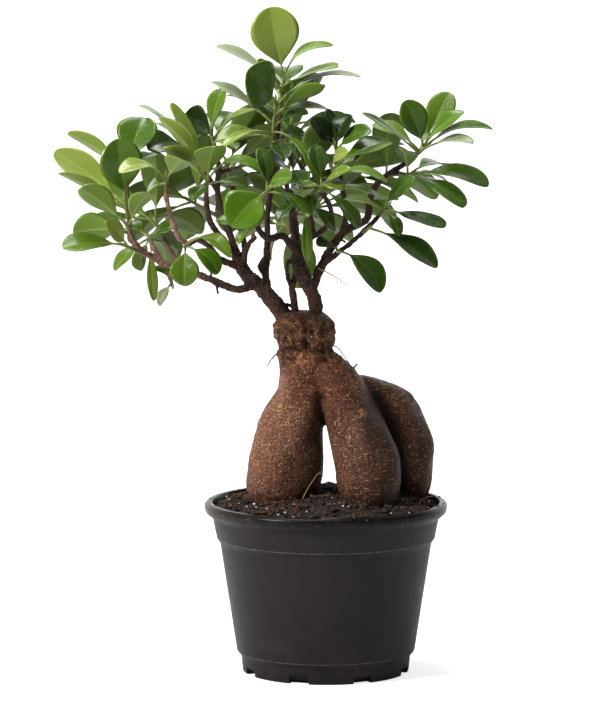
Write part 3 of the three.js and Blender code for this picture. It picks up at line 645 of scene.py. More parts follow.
roots = {
    "sides": 96, "ringStep": 1.5, "voxel": 0.95, "smooth": 6, "specular": 0.20,
    "blend": 24, "blendBand": (154, 168, 188, 198), "blendLevels": 10,
    # relief, in mm: noise as size, shift and octaves
    "wart": (5.5, 7.7, 4), "lump": (22.0, 1.3, 2), "fine": (2.6, 5.2, 2),
    "knobEdge": (9.0, 3.1), "knobWander": 3, "knobFrom": (183, 199),
    "knobRough": 2.1, "skinRough": 0.15, "lumpRough": 0.9, "waistRough": 0.7,
    "cleftX": -12.9, "cleftBand": (200.0, 203.0, 219.0, 223.0), "cleftWander": (1.2, 8.0),
    "cleftWidth": 1.5, "cleftDepth": 1.8,
    "graftHeight": 202.0, "graftWander": 2.0, "graftNoise": (14.0, 2.2), "graftWidth": 1.3, "graftDepth": 0.9,
    "topHeights": (216.0, 220.0), "topLevel": (0.45, 0.75), "topSmooth": 0.8,
    # place and size of each scar; of bumps and folds the height too
    "scars": [(-15.4, -17.0, 210.5, 2.3), (-14.5, -17.0, 196.5, 5.4), (22.3, -29.0, 165.0, 2.8),
              (58.0, 8.0, 118.0, 4.5)],
    "scarEdge": (0.6, 1.25), "scarRagged": 1.2, "scarClear": 0.85,
    "bumps": [(-42.5, -10.0, 157.5, 3.2, 1.6), (54.0, 16.0, 168.0, 4.0, 1.0),
              (22.3, -29.0, 165.0, 3.0, 0.8), (-15.4, -17.0, 210.5, 2.6, 1.4)],
    "folds": [(-3.0, -17.5, 172.0, 3.0, -1.8), (-7.5, -17.0, 176.5, 3.2, 1.3), (1.5, -17.5, 177.5, 3.0, 1.2),
              (-12.0, -17.0, 170.5, 3.2, 0.9), (-5.0, -17.0, 180.5, 2.6, -0.9)],
    # painted shade of each body, and painted shade on its side away from the window: body, from, to and
    # amount
    "bodyShade": [0.25, 0.0, 0.42, 0.62], "shadeDepth": (-60, 10), "shadeTop": (162, 180),
    "darkSides": [(1, -0.15, 0.62, 1.0), (2, -0.25, 0.62, 0.90), (3, 0.05, 0.70, 0.40)],
    # reddish skin at the waist and at the roots' feet
    "waistBand": (158, 170, 188, 202), "waistX": -6, "waistReach": (14, 24),
    "redFeet": [(3, (112, 128), 1.0), (1, (112, 132), 0.5)], "redLump": 0.35,
    # level dashes: body, heights, middle, reach and amount
    "scored": [(1, (146, 158, 172, 180), -20, (8, 16), 1.0), (2, (0, 1, 126, 140), 28, (12, 20), 1.0),
               (3, (140, 150, 300, 301), 0, (300, 301), 0.7)],
    "scoredAll": 0.16,
    # dark places: painted shade in the creases between bodies, in the knob's cleft and crevices, and on the
    # third root behind the middle one; also a darker graft line and cut top
    "creaseReach": (0.3, 5.5), "creaseTop": (166, 177), "hiddenReach": (2.0, 11.0), "hiddenTop": (172, 182),
    "hiddenBack": 32, "crevice": (-0.50, -0.16),
    "darkness": {"cleft": 0.85, "graft": 0.65, "hidden": 0.95, "crevice": 0.65, "cutTop": 0.6},
    "colour": (0.185, 0.067, 0.033, 1), "dark": (0.068, 0.020, 0.009, 1), "pale": (0.42, 0.20, 0.115, 1),
    # shade is the colour of the painted shade of each body
    "shade": (0.017, 0.0050, 0.0020, 1), "red": (0.105, 0.026, 0.010, 1), "gold": (0.62, 0.36, 0.125, 1),
    # the first colour on this line is the near black of the painted shade in creases, clefts and crevices; it
    # also darkens soil on the roots
    "paintedShade": (0.006, 0.0022, 0.0016, 1), "scar": (0.40, 0.160, 0.065, 1), "fleck": (0.95, 0.70, 0.46, 1),
    "knob": (0.155, 0.053, 0.022, 1), "cut": (0.008, 0.004, 0.0030, 1), "moss": (0.40, 0.235, 0.070, 1),
    "pit": (0.014, 0.005, 0.0028, 1),
    # the material's noises as scale, detail and roughness
    "blotch": (45.0, 5.0, 0.6), "blotchStretch": (1, 1, 0.35), "mottle": (420.0, 4.0, 0.65),
    "speckle": (900.0, 2.0, 0.7), "rough": (130.0, 6.0, 0.7), "warts": (290.0, 5.0, 0.75), "grain": 1500.0,
    "smallPores": {"Scale": 760.0, "Level": 1.3, "Size": 0.38, "Share": 0.30},
    "largePores": {"Scale": 430.0, "Level": 1.9, "Size": 0.27, "Share": 0.42},
    "dashes": {"Scale": 170.0, "Level": 9.0, "Size": 0.40, "Share": 0.34},
    # masks: from, to, and what they give at each end
    "litBand": (0.2, 1.0, 1.0, 0.30), "darkBand": (0.34, 0.60), "paleBand": (0.50, 0.78, 0.0, 0.42),
    "shadeBand": (0.30, 0.70, 1.0, 0.75), "redBand": (0.35, 0.60, 0.45, 1.0),
    "scarBand": (0.40, 0.58, 0.25, 0.90), "cutBand": (0.40, 0.50), "mossBand": (0.56, 0.66, 0.0, 0.9),
    "sparkBand": (0.52, 0.66, 0.0, 0.42), "pitBand": (0.50, 0.38, 0.0, 0.80),
    "dotBand": (0.36, 0.62, 0.20, 1.0), "gritBand": (0.60, 0.72), "gritPatches": (0.36, 0.60, 0.15, 0.70),
    "soilLine": (0.120, 0.106), "soilPatches": (0.40, 0.60, 0.25, 1.0),
    "gritGold": 0.55, "dotFleck": 0.92, "scoreGold": 0.9, "gritRise": 0.6,
    "glossBand": (0.3, 0.7, 0.38, 0.50), "knobGloss": 0.06, "redGloss": 0.06, "soilGloss": 0.4,
    "markRise": 0.9, "grainRise": 0.4, "mottleRise": 0.9, "speckleRise": 1.1, "bump": (0.9, 0.0009),
    "wartRise": 0.8, "redRise": 0.8, "wartBump": (0.9, 0.0022),
}


def pointColours(mesh, name, colours):
    layer = mesh.attributes.new(name, "FLOAT_COLOR", "POINT")
    values = np.ones((len(mesh.vertices), 4))
    values[:, :3] = colours
    layer.data.foreach_set("color", values.ravel())


def attributeParts(tree, name):
    node = put(tree, "ShaderNodeAttribute", attribute_name=name)
    parts = put(tree, "ShaderNodeSeparateColor")
    tree.links.new(node.outputs["Color"], parts.inputs[0])
    return parts.outputs


def rootMaterial():
    r = roots
    material, tree, shader = newMaterial("swollenRootSkin")
    # the first channel is painted shade in creases, clefts, crevices and behind the middle root, with the
    # darker graft line and cut top; then scars and knob
    paintedShade, scar, knob = attributeParts(tree, "rootShadeAndMarks")[:3]
    # the first channel is painted shade of each body and of its side away from the light; then reddish skin
    # and level dashes
    shade, red, scored = attributeParts(tree, "rootShadeAndTints")[:3]
    place, parts = objectPlace(tree)
    blotch = noiseAt(tree, stretched(tree, place, r["blotchStretch"]), *r["blotch"])
    mottle, speckle, rough, warts = (noiseAt(tree, place, *r[key])
                                     for key in ("mottle", "speckle", "rough", "warts"))
    grain = effect(tree, grainGroup, Scale=r["grain"], Contrast=1.0)
    small, large, dashes = (effect(tree, poresGroup, **r[key]).outputs["Mask"]
                            for key in ("smallPores", "largePores", "dashes"))

    def banded(value, key):
        return ramp(tree, value, *r[key])

    # lit is the opposite of the painted shade: pale pores and speckle are painted fainter where that shade
    # falls
    lit = banded(shade, "litBand")
    bark = layerColours(tree, r["cut"], (banded(warts, "cutBand"), r["knob"]),
                        (banded(warts, "mossBand"), r["moss"]))
    dots = times(tree, maths(tree, "MAXIMUM", small, large), banded(rough, "dotBand"))
    dots = times(tree, dots, lit)
    scores = times(tree, dashes, scored)
    grit = times(tree, banded(speckle, "gritBand"), banded(rough, "gritPatches"))
    soiled = times(tree, banded(parts["Z"], "soilLine"), banded(rough, "soilPatches"))
    colour = layerColours(
        tree, r["dark"],
        (banded(blotch, "darkBand"), r["colour"]),
        (banded(mottle, "paleBand"), r["pale"]),
        # painted shade of each body and of its side away from the light
        (times(tree, shade, banded(blotch, "shadeBand")), r["shade"]),
        (times(tree, red, banded(rough, "redBand")), r["red"]),
        (knob, bark),
        (times(tree, scar, banded(mottle, "scarBand")), r["scar"]),
        # pale speckle, painted fainter in the painted shade
        (times(tree, banded(speckle, "sparkBand"), lit), r["pale"]),
        (banded(speckle, "pitBand"), r["pit"]),
        (times(tree, grit, r["gritGold"]), r["gold"]),
        (times(tree, dots, r["dotFleck"]), r["fleck"]),
        (times(tree, scores, r["scoreGold"]), r["gold"]),
        # painted shade, near black
        (paintedShade, r["paintedShade"]),
        # soil low on the roots, in the same near black
        (soiled, r["paintedShade"]))
    tree.links.new(colour, shader.inputs["Base Color"])
    gloss = addUp(tree, banded(blotch, "glossBand"), (knob, r["knobGloss"]), (red, r["redGloss"]),
                  (soiled, r["soilGloss"]), clamp=True)
    tree.links.new(gloss, shader.inputs["Roughness"])
    marks = maths(tree, "MAXIMUM", maths(tree, "MAXIMUM", dots, scores), times(tree, grit, r["gritRise"]))
    height = addUp(tree, 0.0, (marks, r["markRise"]), (grain.outputs["Height"], r["grainRise"]),
                   (mottle, r["mottleRise"]), (speckle, r["speckleRise"]))
    first = bumpFrom(tree, height, *r["bump"])
    warty = maths(tree, "MAXIMUM", knob, times(tree, red, r["redRise"]))
    lumpy = times(tree, addUp(tree, rough, (warts, r["wartRise"])), warty)
    tree.links.new(bumpFrom(tree, lumpy, *r["wartBump"], first), shader.inputs["Normal"])
    shader.inputs["Specular IOR Level"].default_value = r["specular"]
    return material


def skinOf(mesh):
    flat = np.zeros(len(mesh.vertices) * 3)
    mesh.vertices.foreach_get("co", flat)
    places = flat.reshape(-1, 3) / mm
    mesh.vertices.foreach_get("normal", flat)
    return places, flat.reshape(-1, 3).copy()


# The forks of the roots run softly into each other
def blendForks(piece):
    weights = band(skinOf(piece.data)[0][:, 2], *roots["blendBand"])
    group = piece.vertex_groups.new(name="forks")
    for level in range(1, roots["blendLevels"] + 1):
        chosen = np.flatnonzero(np.round(weights * roots["blendLevels"]) == level)
        group.add(chosen.tolist(), level / roots["blendLevels"], "REPLACE")
    soften = piece.modifiers.new("blend", "SMOOTH")
    soften.iterations, soften.vertex_group = roots["blend"], "forks"
    applyModifiers(piece)
    piece.vertex_groups.clear()


def rootSkin():
    points, faces = [], []
    turn = np.arange(roots["sides"]) * 2 * math.pi / roots["sides"]
    for rings in rootBodies:
        low, high = rings[-1][2], rings[0][2]
        rows = ringsAt(rings, np.linspace(low, high, int((high - low) / roots["ringStep"])))
        start = len(points)
        for x, y, z, halfWidth, halfDepth in rows:
            out = rippleOut(turn, z)
            points += list(zip(x + halfWidth * out * np.cos(turn), y + halfDepth * out * np.sin(turn),
                               np.full(len(turn), z)))
        faces += skinFaces(len(rows), roots["sides"], start)
    piece = meshPiece("swollenRoots", points, faces, rootMaterial())
    oneSkin(piece, roots["voxel"], roots["smooth"])
    blendForks(piece)
    return piece


def makeRoots():
    r = roots
    piece = rootSkin()
    mesh = piece.data
    places, normals = skinOf(mesh)
    reach = np.array([outsideRoot(rings, places) for rings in rootBodies])
    nearest = reach.argmin(axis=0)
    gap = np.sort(reach, axis=0)[1]
    x, y, z = places.T
    wart, lump, fine = (noiseOn(places, *r[key]) for key in ("wart", "lump", "fine"))
    knobby = steps(z + r["knobWander"] * noiseOn(places, *r["knobEdge"]), *r["knobFrom"])
    bare = 1 - knobby
    # painted shade in the creases where two bodies meet
    paintedShade = (1 - steps(gap, *r["creaseReach"])) * (1 - steps(z, *r["creaseTop"]))
    sway, swaySize = r["cleftWander"]
    wander = x - r["cleftX"] - sway * noiseOn(places * [0, 0, 1], swaySize)
    cleft = np.exp(-(wander / r["cleftWidth"]) ** 2) * band(z, *r["cleftBand"]) * (y < 0)
    graftLine = z - r["graftHeight"] - r["graftWander"] * noiseOn(places, *r["graftNoise"])
    graft = np.exp(-(graftLine / r["graftWidth"]) ** 2)
    scarMask = np.zeros(len(places))
    for *middle, size in r["scars"]:
        off = np.linalg.norm(places - middle, axis=1) + r["scarRagged"] * fine
        inner, outer = r["scarEdge"]
        scarMask = np.maximum(scarMask, 1 - steps(off, size * inner, size * outer))

    # painted shade: each body darker at the front and fading towards the back, and darker on its side away
    # from the window
    shade = np.choose(nearest, r["bodyShade"]) * steps(-y, *r["shadeDepth"])
    for body, start, stop, amount in r["darkSides"]:
        row = ringsAt(rootBodies[body], z)
        turned = steps((x - row[:, 0]) / row[:, 3], start, stop)
        shade = shade + amount * turned * (nearest == body) * (1 - steps(z, *r["shadeTop"]))
    waist = band(z, *r["waistBand"]) * (1 - steps(np.abs(x - r["waistX"]), *r["waistReach"]))
    foot = sum((nearest == body) * (1 - steps(z, *heights)) * amount
               for body, heights, amount in r["redFeet"])
    red = waist + foot + r["redLump"] * lump
    scored = r["scoredAll"]
    for body, heights, middleX, sides, amount in r["scored"]:
        patch = band(z, *heights) * (1 - steps(np.abs(x - middleX), *sides))
        scored = scored + (nearest == body) * patch * amount
    cutTop = steps(normals[:, 2], *r["topLevel"]) * steps(z, *r["topHeights"])

    rise = r["skinRough"] * fine + r["lumpRough"] * lump * bare + r["knobRough"] * wart * knobby
    rise -= r["cleftDepth"] * cleft + r["graftDepth"] * graft
    for *middle, size, tall in r["bumps"] + r["folds"]:
        off = np.linalg.norm(places - middle, axis=1)
        rise += tall * np.exp(-(off / size) ** 2)
    rise += r["waistRough"] * waist * bare * wart
    rise *= 1 - r["topSmooth"] * cutTop
    places += normals * rise[:, None]
    mesh.vertices.foreach_set("co", (places * mm).ravel())
    mesh.update()

    # x, y and z now give the risen skin; where the third root runs behind the middle one it gets a painted
    # shadow
    middleRow = ringsAt(middleRootRings, z)
    behind = x - middleRow[:, 0] - middleRow[:, 3]
    hidden = (nearest == 3) * (1 - steps(behind, *r["hiddenReach"])) * (1 - steps(z, *r["hiddenTop"]))
    # painted shade in the knob's cleft and crevices and on the third root behind the middle one, joined with
    # a darker graft line and cut top
    masks = {"cleft": cleft, "graft": graft, "hidden": hidden * (y < r["hiddenBack"]),
             "crevice": knobby * (1 - steps(wart, *r["crevice"])), "cutTop": cutTop}
    dark = np.maximum.reduce([paintedShade] + [r["darkness"][key] * mask for key, mask in masks.items()])
    dark = dark * (1 - r["scarClear"] * scarMask)
    # first channel: the painted shade; second: the scars; third: the knob
    pointColours(mesh, "rootShadeAndMarks", np.stack([dark, scarMask, knobby * (1 - scarMask)], axis=1))
    # first channel: the painted shade; second: the reddish skin; third: the level dashes
    pointColours(mesh, "rootShadeAndTints", np.clip([shade, red, scored], 0, 1).T)
    settle(piece, "bark", "trunk")
    print("roots", len(mesh.vertices))


makeRoots()


# Limbs: route, and radius at the base and at the tip

limbs = {
    "leftMain": {"route": [(-22, -2, 212), (-28, -2, 224), (-39, -5, 238), (-47, -7, 245), (-52, -6, 252),
        (-55, -5, 260)], "radii": (5.6, 3.8)},
    "leftLow": {"route": [(-43, -7, 240), (-57, -10, 239), (-78, -14, 248), (-96, -17, 254), (-106, -18, 259),
        (-115, -19, 265), (-119, -20, 271)], "radii": (2.5, 1.9)},
    "leftLowStub": {"route": [(-116, -19, 267), (-121, -22, 274), (-126, -25, 277)], "radii": (1.5, 1.3)},
    "leftLowIn": {"route": [(-100, -17, 256), (-103, -6, 259), (-106, 2, 263)], "radii": (1.7, 1.5)},
    "leftLowHang": {"route": [(-93, -16, 253), (-94, -6, 249), (-96, 0, 245)], "radii": (1.7, 1.5)},
    "leftFront": {"route": [(-53, -6, 252), (-66, -14, 258), (-72, -24, 267), (-78, -34, 271),
        (-84, -42, 269)], "radii": (2.2, 1.7)},
    "leftFrontUp": {"route": [(-83, -41, 269), (-89, -42, 273), (-93, -38, 282), (-96, -34, 292),
        (-97, -32, 297)], "radii": (1.7, 1.5)},
    "leftFan": {"route": [(-54, -5, 258), (-66, -14, 273), (-71, -22, 282), (-72, -27, 288),
        (-73, -32, 297)], "radii": (2.1, 1.6)},
    "leftTall": {"route": [(-54, -5, 257), (-59, 2, 271), (-62, 8, 277), (-65, 14, 286), (-67, 18, 297),
        (-66, 20, 313)], "radii": (2.4, 1.6)},
    "leftBack": {"route": [(-51, -5, 250), (-50, 8, 261), (-52, 18, 270), (-55, 28, 284),
        (-58, 36, 299)], "radii": (2.1, 1.6)},
    "leftStub": {"route": [(-51, -7, 254), (-48, -18, 266), (-43, -26, 272)], "radii": (1.8, 1.5)},
    "leader": {"route": [(-35, -3, 233), (-37, -2, 248), (-36, 2, 269), (-36, 4, 283), (-34, 3, 298),
        (-31, 0, 322)], "radii": (2.2, 1.6)},
    "middleMain": {"route": [(-18, 0, 216), (-20, 0, 233), (-21, 0, 238), (-19, 3, 246), (-18, 9, 261),
        (-18, 16, 270), (-22, 30, 296)], "radii": (2.4, 1.6)},
    "middleProng": {"route": [(-21, 0, 237), (-23, -1, 243), (-24, -2, 251), (-23, -5, 256)],
        "radii": (1.5, 1.2)},
    "rightMain": {"route": [(-5, -2, 214), (-7, -3, 231), (-10, -4, 238), (-14, -5, 246), (-17, -5, 255),
        (-15, -4, 268)], "radii": (4.2, 4.6)},
    "rightCross": {"route": [(-17, -6, 260), (-23, -12, 268), (-27, -16, 272), (-34, -22, 271),
        (-39, -28, 274), (-42, -34, 280), (-42, -42, 289), (-40, -48, 296)], "radii": (2.5, 1.6)},
    "rightUp": {"route": [(-17, -4, 264), (-20, -4, 273), (-21, -6, 283), (-23, -8, 293),
        (-24, -10, 303)], "radii": (2.2, 1.6)},
    "rightOut": {"route": [(-9, -3, 236), (-2, 4, 253), (10, 10, 271), (25, 18, 279), (27, 18, 291),
        (32, 14, 302), (40, 8, 309), (49, 2, 315)], "radii": (3.0, 1.6)},
    "rightOutUp": {"route": [(10, 10, 271), (12, 6, 281), (11, 0, 293), (9, -6, 305),
        (7, -12, 315)], "radii": (2.0, 1.5)},
    "rightBack": {"route": [(-14, -3, 263), (-9, 5, 270), (-9, 12, 278), (-11, 18, 284), (-12, 26, 293),
        (-12, 34, 307)], "radii": (2.2, 1.6)},
    "rightGreen": {"route": [(-3, 3, 251), (4, -5, 258), (14, -10, 266), (25, -9, 276),
        (31, -8, 282)], "radii": (1.9, 1.5)},
    "rightThin": {"route": [(-10, 5, 269), (-2, 0, 274), (3, -10, 283), (2, -20, 291), (-1, -32, 297),
        (-3, -40, 301)], "radii": (1.8, 1.5)},
}

wood = {
    "sides": 14, "perSpan": 5, "voxel": 0.6, "smooth": 2, "stubTip": 0.7,
    "ridge": 0.55, "ridgeNoise": (2.2, 4.4, 3), "wave": 0.6, "waveNoise": (7.0, 8.8, 2),
    "roughBelow": (285, 240), "roughAbove": 0.4,
    "spurBase": 1.7, "spurTip": 1.4, "spurShare": 0.42,
    "dark": (0.014, 0.006, 0.004, 1), "brown": (0.056, 0.024, 0.014, 1), "grey": (0.15, 0.090, 0.062, 1),
    "rosy": (0.30, 0.155, 0.105, 1), "specular": 0.22,
    "fine": (500.0, 5.0, 0.7), "blotch": (90.0, 4.0, 0.6), "grain": 1400.0,
    "pores": {"Scale": 520.0, "Level": 1.4, "Size": 0.34, "Share": 0.35}, "poreShare": 0.5,
    "brownBand": (0.38, 0.62), "greyBand": (0.50, 0.72, 0.0, 0.6), "glossBand": (0.3, 0.7, 0.55, 0.75),
    # rosy, younger wood out to the left, and painted shade on the wood inside the crown, in metres
    "rosyReach": (-0.068, -0.092), "rosyPatches": (0.35, 0.60, 0.15, 0.90),
    "crownShadeReach": (-0.060, -0.040), "crownShadeHeights": (0.250, 0.285, 0.0, 0.6),
    "fineRise": 1.0, "blotchRise": 1.2, "grainRise": 0.3, "poreRise": 0.4, "bump": (0.9, 0.0010),
}


def spurEnd(shoot):
    fork, heart = np.array(shoot["fork"], float), np.array(shoot["heart"], float)
    return fork + (heart - fork) * wood["spurShare"]


# Short stubs and broken twig ends: foot, head, radius
barkStubs = [
    ((-70, -13, 245), (-71, -14, 251), 0.9), ((-67, -12, 240), (-66, -13, 235.5), 0.9),
    ((-47, -8, 246), (-43, -12, 249), 1.1), ((-17, -7, 250), (-13, -10, 253), 1.2),
    ((-20, 1, 226), (-24, -2, 229), 1.0), ((8, 9, 268), (12, 8, 266), 1.0),
    ((-37, -2, 246), (-41, -4, 252), 2.0), ((-41, -4, 251), (-38, -3, 257), 1.8),
]


def barkMaterial():
    w = wood
    material, tree, shader = newMaterial("roughBark")
    place, parts = objectPlace(tree)
    fine, blotch = noiseAt(tree, place, *w["fine"]), noiseAt(tree, place, *w["blotch"])
    grain = effect(tree, grainGroup, Scale=w["grain"], Contrast=1.0)
    pores = effect(tree, poresGroup, **w["pores"]).outputs["Mask"]
    outer = times(tree, ramp(tree, parts["X"], *w["rosyReach"]), ramp(tree, fine, *w["rosyPatches"]))
    # painted shade on the wood inside the crown
    inner = times(tree, ramp(tree, parts["X"], *w["crownShadeReach"]), ramp(tree, parts["Z"], *w["crownShadeHeights"]))
    colour = layerColours(
        tree, w["dark"],
        (ramp(tree, blotch, *w["brownBand"]), w["brown"]),
        (ramp(tree, fine, *w["greyBand"]), w["grey"]),
        (outer, w["rosy"]),
        (times(tree, pores, w["poreShare"]), w["rosy"]),
        # painted shade inside the crown
        (inner, w["dark"]))
    tree.links.new(colour, shader.inputs["Base Color"])
    tree.links.new(ramp(tree, blotch, *w["glossBand"]), shader.inputs["Roughness"])
    height = addUp(tree, 0.0, (fine, w["fineRise"]), (blotch, w["blotchRise"]),
                   (grain.outputs["Height"], w["grainRise"]), (pores, w["poreRise"]))
    tree.links.new(bumpFrom(tree, height, *w["bump"]), shader.inputs["Normal"])
    shader.inputs["Specular IOR Level"].default_value = w["specular"]
    return material


def makeLimbs():
    points, faces = [], []

    def addTube(route, radii):
        start = len(points)
        along = np.interp(np.linspace(0, 1, len(route)), [0, 1], radii)
        points.extend(tubeRings(route, along, wood["sides"]).reshape(-1, 3))
        faces.extend(skinFaces(len(route), wood["sides"], start))

    for limb in limbs.values():
        addTube(smoothRoute(limb["route"], wood["perSpan"]), limb["radii"])
    for shoot in allShoots:
        fork, end = np.array(shoot["fork"], float), spurEnd(shoot)
        spur = np.array([fork + (end - fork) * k / 4 for k in range(5)])
        addTube(spur, (wood["spurBase"], wood["spurTip"]))
    for foot, head, radius in barkStubs:
        addTube(np.array([foot, head], float), (radius, radius * wood["stubTip"]))
    piece = meshPiece("woodyLimbs", points, faces, barkMaterial())
    oneSkin(piece, wood["voxel"], wood["smooth"])
    mesh = piece.data
    places, normals = skinOf(mesh)
    rise = wood["ridge"] * noiseOn(places, *wood["ridgeNoise"])
    rise += wood["wave"] * noiseOn(places, *wood["waveNoise"])
    rise *= wood["roughAbove"] + (1 - wood["roughAbove"]) * steps(places[:, 2], *wood["roughBelow"])
    places += normals * rise[:, None]
    mesh.vertices.foreach_set("co", (places * mm).ravel())
    mesh.update()
    settle(piece, "bark", "trunk")
    print("limbs", len(mesh.vertices))


hairs = {
    "sides": 7, "perSpan": 6, "taper": 0.45,
    "dark": (0.028, 0.015, 0.010, 1), "pale": (0.42, 0.27, 0.15, 1),
    "grain": 700.0, "shadeShare": 0.4, "glossBand": (0.3, 0.7, 0.5, 0.8), "bump": (0.4, 0.0002),
    # hair roots and a thin stipule: route, radius and how pale
    "routes": {
        "kneeRoot": ([(-25, -7, 199.0), (-30, -9, 198.5), (-33.5, -11, 195.5), (-36, -11, 191.5)], 0.62, 0.1),
        "kneeTwig": ([(-26, -7, 204.0), (-29, -9, 206.0), (-31, -9, 205.0)], 0.36, 0.1),
        "threadRoot": ([(2, -6, 204), (7, -10, 202.5), (11.5, -13, 197), (16, -14, 190.5)], 0.42, 0.1),
        "threadStub": ([(13.5, -12, 187), (16.5, -14, 190), (19, -15, 193)], 0.95, 0.1),
        "paleRoot": ([(-1.8, -14, 128.5), (-6, -21, 124.5), (-10.5, -28, 119), (-14.5, -32, 112),
                      (-17, -35, 107), (-19, -38, 104)], 0.30, 1.0),
        "paleBranch": ([(-5, -19, 125.4), (0, -20, 125.8), (3, -20, 125.2)], 0.20, 1.0),
        "creviceRoot": ([(45, 3, 124), (41, -2, 119), (38, -7, 112), (37, -10, 105)], 0.30, 0.1),
        "stipule": ([(-5, -5, 251), (2, -8, 248), (8, -10, 244.5), (13, -11, 240.5)], 0.40, 1.0),
        "soilRootRight": ([(66, 2, 108), (63, -4, 109), (59, -10, 108), (57, -14, 106)], 0.30, 1.0),
    },
}


def hairMaterial():
    material, tree, shader = newMaterial("threadRoot")
    tone = attributeParts(tree, "hairTone")[0]
    grain = effect(tree, grainGroup, Scale=hairs["grain"], Contrast=1.0)
    shade = times(tree, grain.outputs["Mottle"], hairs["shadeShare"])
    colour = layerColours(tree, hairs["dark"], (tone, hairs["pale"]), (shade, hairs["dark"]))
    tree.links.new(colour, shader.inputs["Base Color"])
    tree.links.new(ramp(tree, grain.outputs["Height"], *hairs["glossBand"]), shader.inputs["Roughness"])
    tree.links.new(bumpFrom(tree, grain.outputs["Height"], *hairs["bump"]), shader.inputs["Normal"])
    return material


def makeHairs():
    points, faces, tones = [], [], []
    sides = hairs["sides"]
    for route, radius, light in hairs["routes"].values():
        line = smoothRoute(route, hairs["perSpan"])
        faces.extend(skinFaces(len(line), sides, len(points)))
        radii = radius * (1 - hairs["taper"] * np.linspace(0, 1, len(line)))
        points.extend(tubeRings(line, radii, sides).reshape(-1, 3))
        tones.extend([(light, 0, 0)] * (len(line) * sides))
    piece = meshPiece("hairRoots", points, faces, hairMaterial())
    pointColours(piece.data, "hairTone", tones)
    settle(piece, "bark")
    print("hair roots", len(points))


# Peat with crumbs, fibres, bark chips and perlite

soil = {
    "bottom": 2.6, "skirtHeight": 13.0, "edgeHeight": 102.0, "mound": 10.0, "lump": 1.1, "reach": 70.0,
    "wallGap": 2.0, "rings": 70, "sides": 260,
    "coarse": 1.5, "coarseNoise": (6.5, 1.0, 3), "fine": 0.75, "fineNoise": (2.2, 6.0, 2), "seed": 311,
    # loose pieces: how many, size, height over the soil, flatness, and share or range of the reddish tone
    "crumbs": 1700, "crumbSize": (0.7, 2.3), "crumbSpread": (1.3, 0.7), "crumbLift": (-0.2, 1.0),
    "crumbFlat": 0.7, "crumbRed": 0.24, "crumbTone": 0.75,
    "chips": 90, "chipSize": (1.4, 3.6), "chipLift": (0.4, 1.4), "chipFlat": 0.28, "chipTone": (0.2, 0.9),
    "perlite": 70, "perliteSize": (0.35, 1.0), "perliteLift": (0.6, 1.5), "perliteFlat": 0.8,
    "fibres": 110, "fibreLength": (3, 11), "fibreRadius": (0.07, 0.20), "fibreSteps": 6, "fibreSides": 4,
    "fibreLift": 1.0, "fibreArch": 1.6, "fibreTurn": 0.6, "fibreTone": (0.35, 1.0),
    "rimCrumbs": 34, "rimReach": (70.8, 73.6), "rimSide": (-12, 40), "rimShare": 0.6, "rimSize": (0.25, 0.8),
    "rimFlat": 0.6, "rimTone": (0, 0.7), "raggedness": (0.65, 1.25), "narrowness": (0.6, 1),
    "dark": (0.006, 0.003, 0.002, 1), "brown": (0.030, 0.014, 0.009, 1), "red": (0.10, 0.038, 0.015, 1),
    "fibre": (0.22, 0.105, 0.045, 1), "white": (0.80, 0.78, 0.72, 1),
    "clods": (260.0, 6.0, 0.7), "grain": 1600.0, "brownBand": (0.40, 0.66),
    "glossBand": (0.3, 0.7, 0.78, 0.98), "grainRise": 0.5, "bump": (0.9, 0.0012),
    "flecks": {"Scale": 480.0, "Level": 1.0, "Size": 0.34, "Share": 0.10},
}


def soilHeight(x, y):
    share = np.minimum(np.hypot(x, y) / soil["reach"], 1)
    lumps = np.sin(x * 0.21 + 1.3) * np.cos(y * 0.25) + np.sin((x + y) * 0.37 + 0.6) / 2
    return soil["edgeHeight"] + soil["mound"] * (1 - share ** 2) + soil["lump"] * lumps


def soilMaterial(name, loose=False):
    material, tree, shader = newMaterial(name)
    place = put(tree, "ShaderNodeTexCoord").outputs["Object"]
    clods = noiseAt(tree, place, *soil["clods"])
    grain = effect(tree, grainGroup, Scale=soil["grain"], Contrast=1.0)
    flecks = effect(tree, poresGroup, **soil["flecks"])
    colour = layerColours(tree, soil["dark"], (ramp(tree, clods, *soil["brownBand"]), soil["brown"]),
                          (flecks.outputs["Mask"], soil["red"]))
    if loose:
        tints = zip(attributeParts(tree, "grainTone"), (soil[key] for key in ("red", "fibre", "white")))
        colour = layerColours(tree, colour, *tints)
    tree.links.new(colour, shader.inputs["Base Color"])
    tree.links.new(ramp(tree, clods, *soil["glossBand"]), shader.inputs["Roughness"])
    height = addUp(tree, clods, (grain.outputs["Height"], soil["grainRise"]))
    tree.links.new(bumpFrom(tree, height, *soil["bump"]), shader.inputs["Normal"])
    return material


# A twenty-sided ball, knocked out of shape for each crumb
ballCorners = [(0, 0, 1), (0.894, 0, 0.447), (0.276, 0.851, 0.447), (-0.724, 0.526, 0.447),
               (-0.724, -0.526, 0.447), (0.276, -0.851, 0.447), (0.724, 0.526, -0.447),
               (-0.276, 0.851, -0.447), (-0.894, 0, -0.447), (-0.276, -0.851, -0.447),
               (0.724, -0.526, -0.447), (0, 0, -1)]
ballFaces = [(0, 1, 2), (0, 2, 3), (0, 3, 4), (0, 4, 5), (0, 5, 1), (1, 6, 2), (2, 7, 3), (3, 8, 4),
             (4, 9, 5), (5, 10, 1), (6, 7, 2), (7, 8, 3), (8, 9, 4), (9, 10, 5), (10, 6, 1), (6, 11, 7),
             (7, 11, 8), (8, 11, 9), (9, 11, 10), (10, 11, 6)]


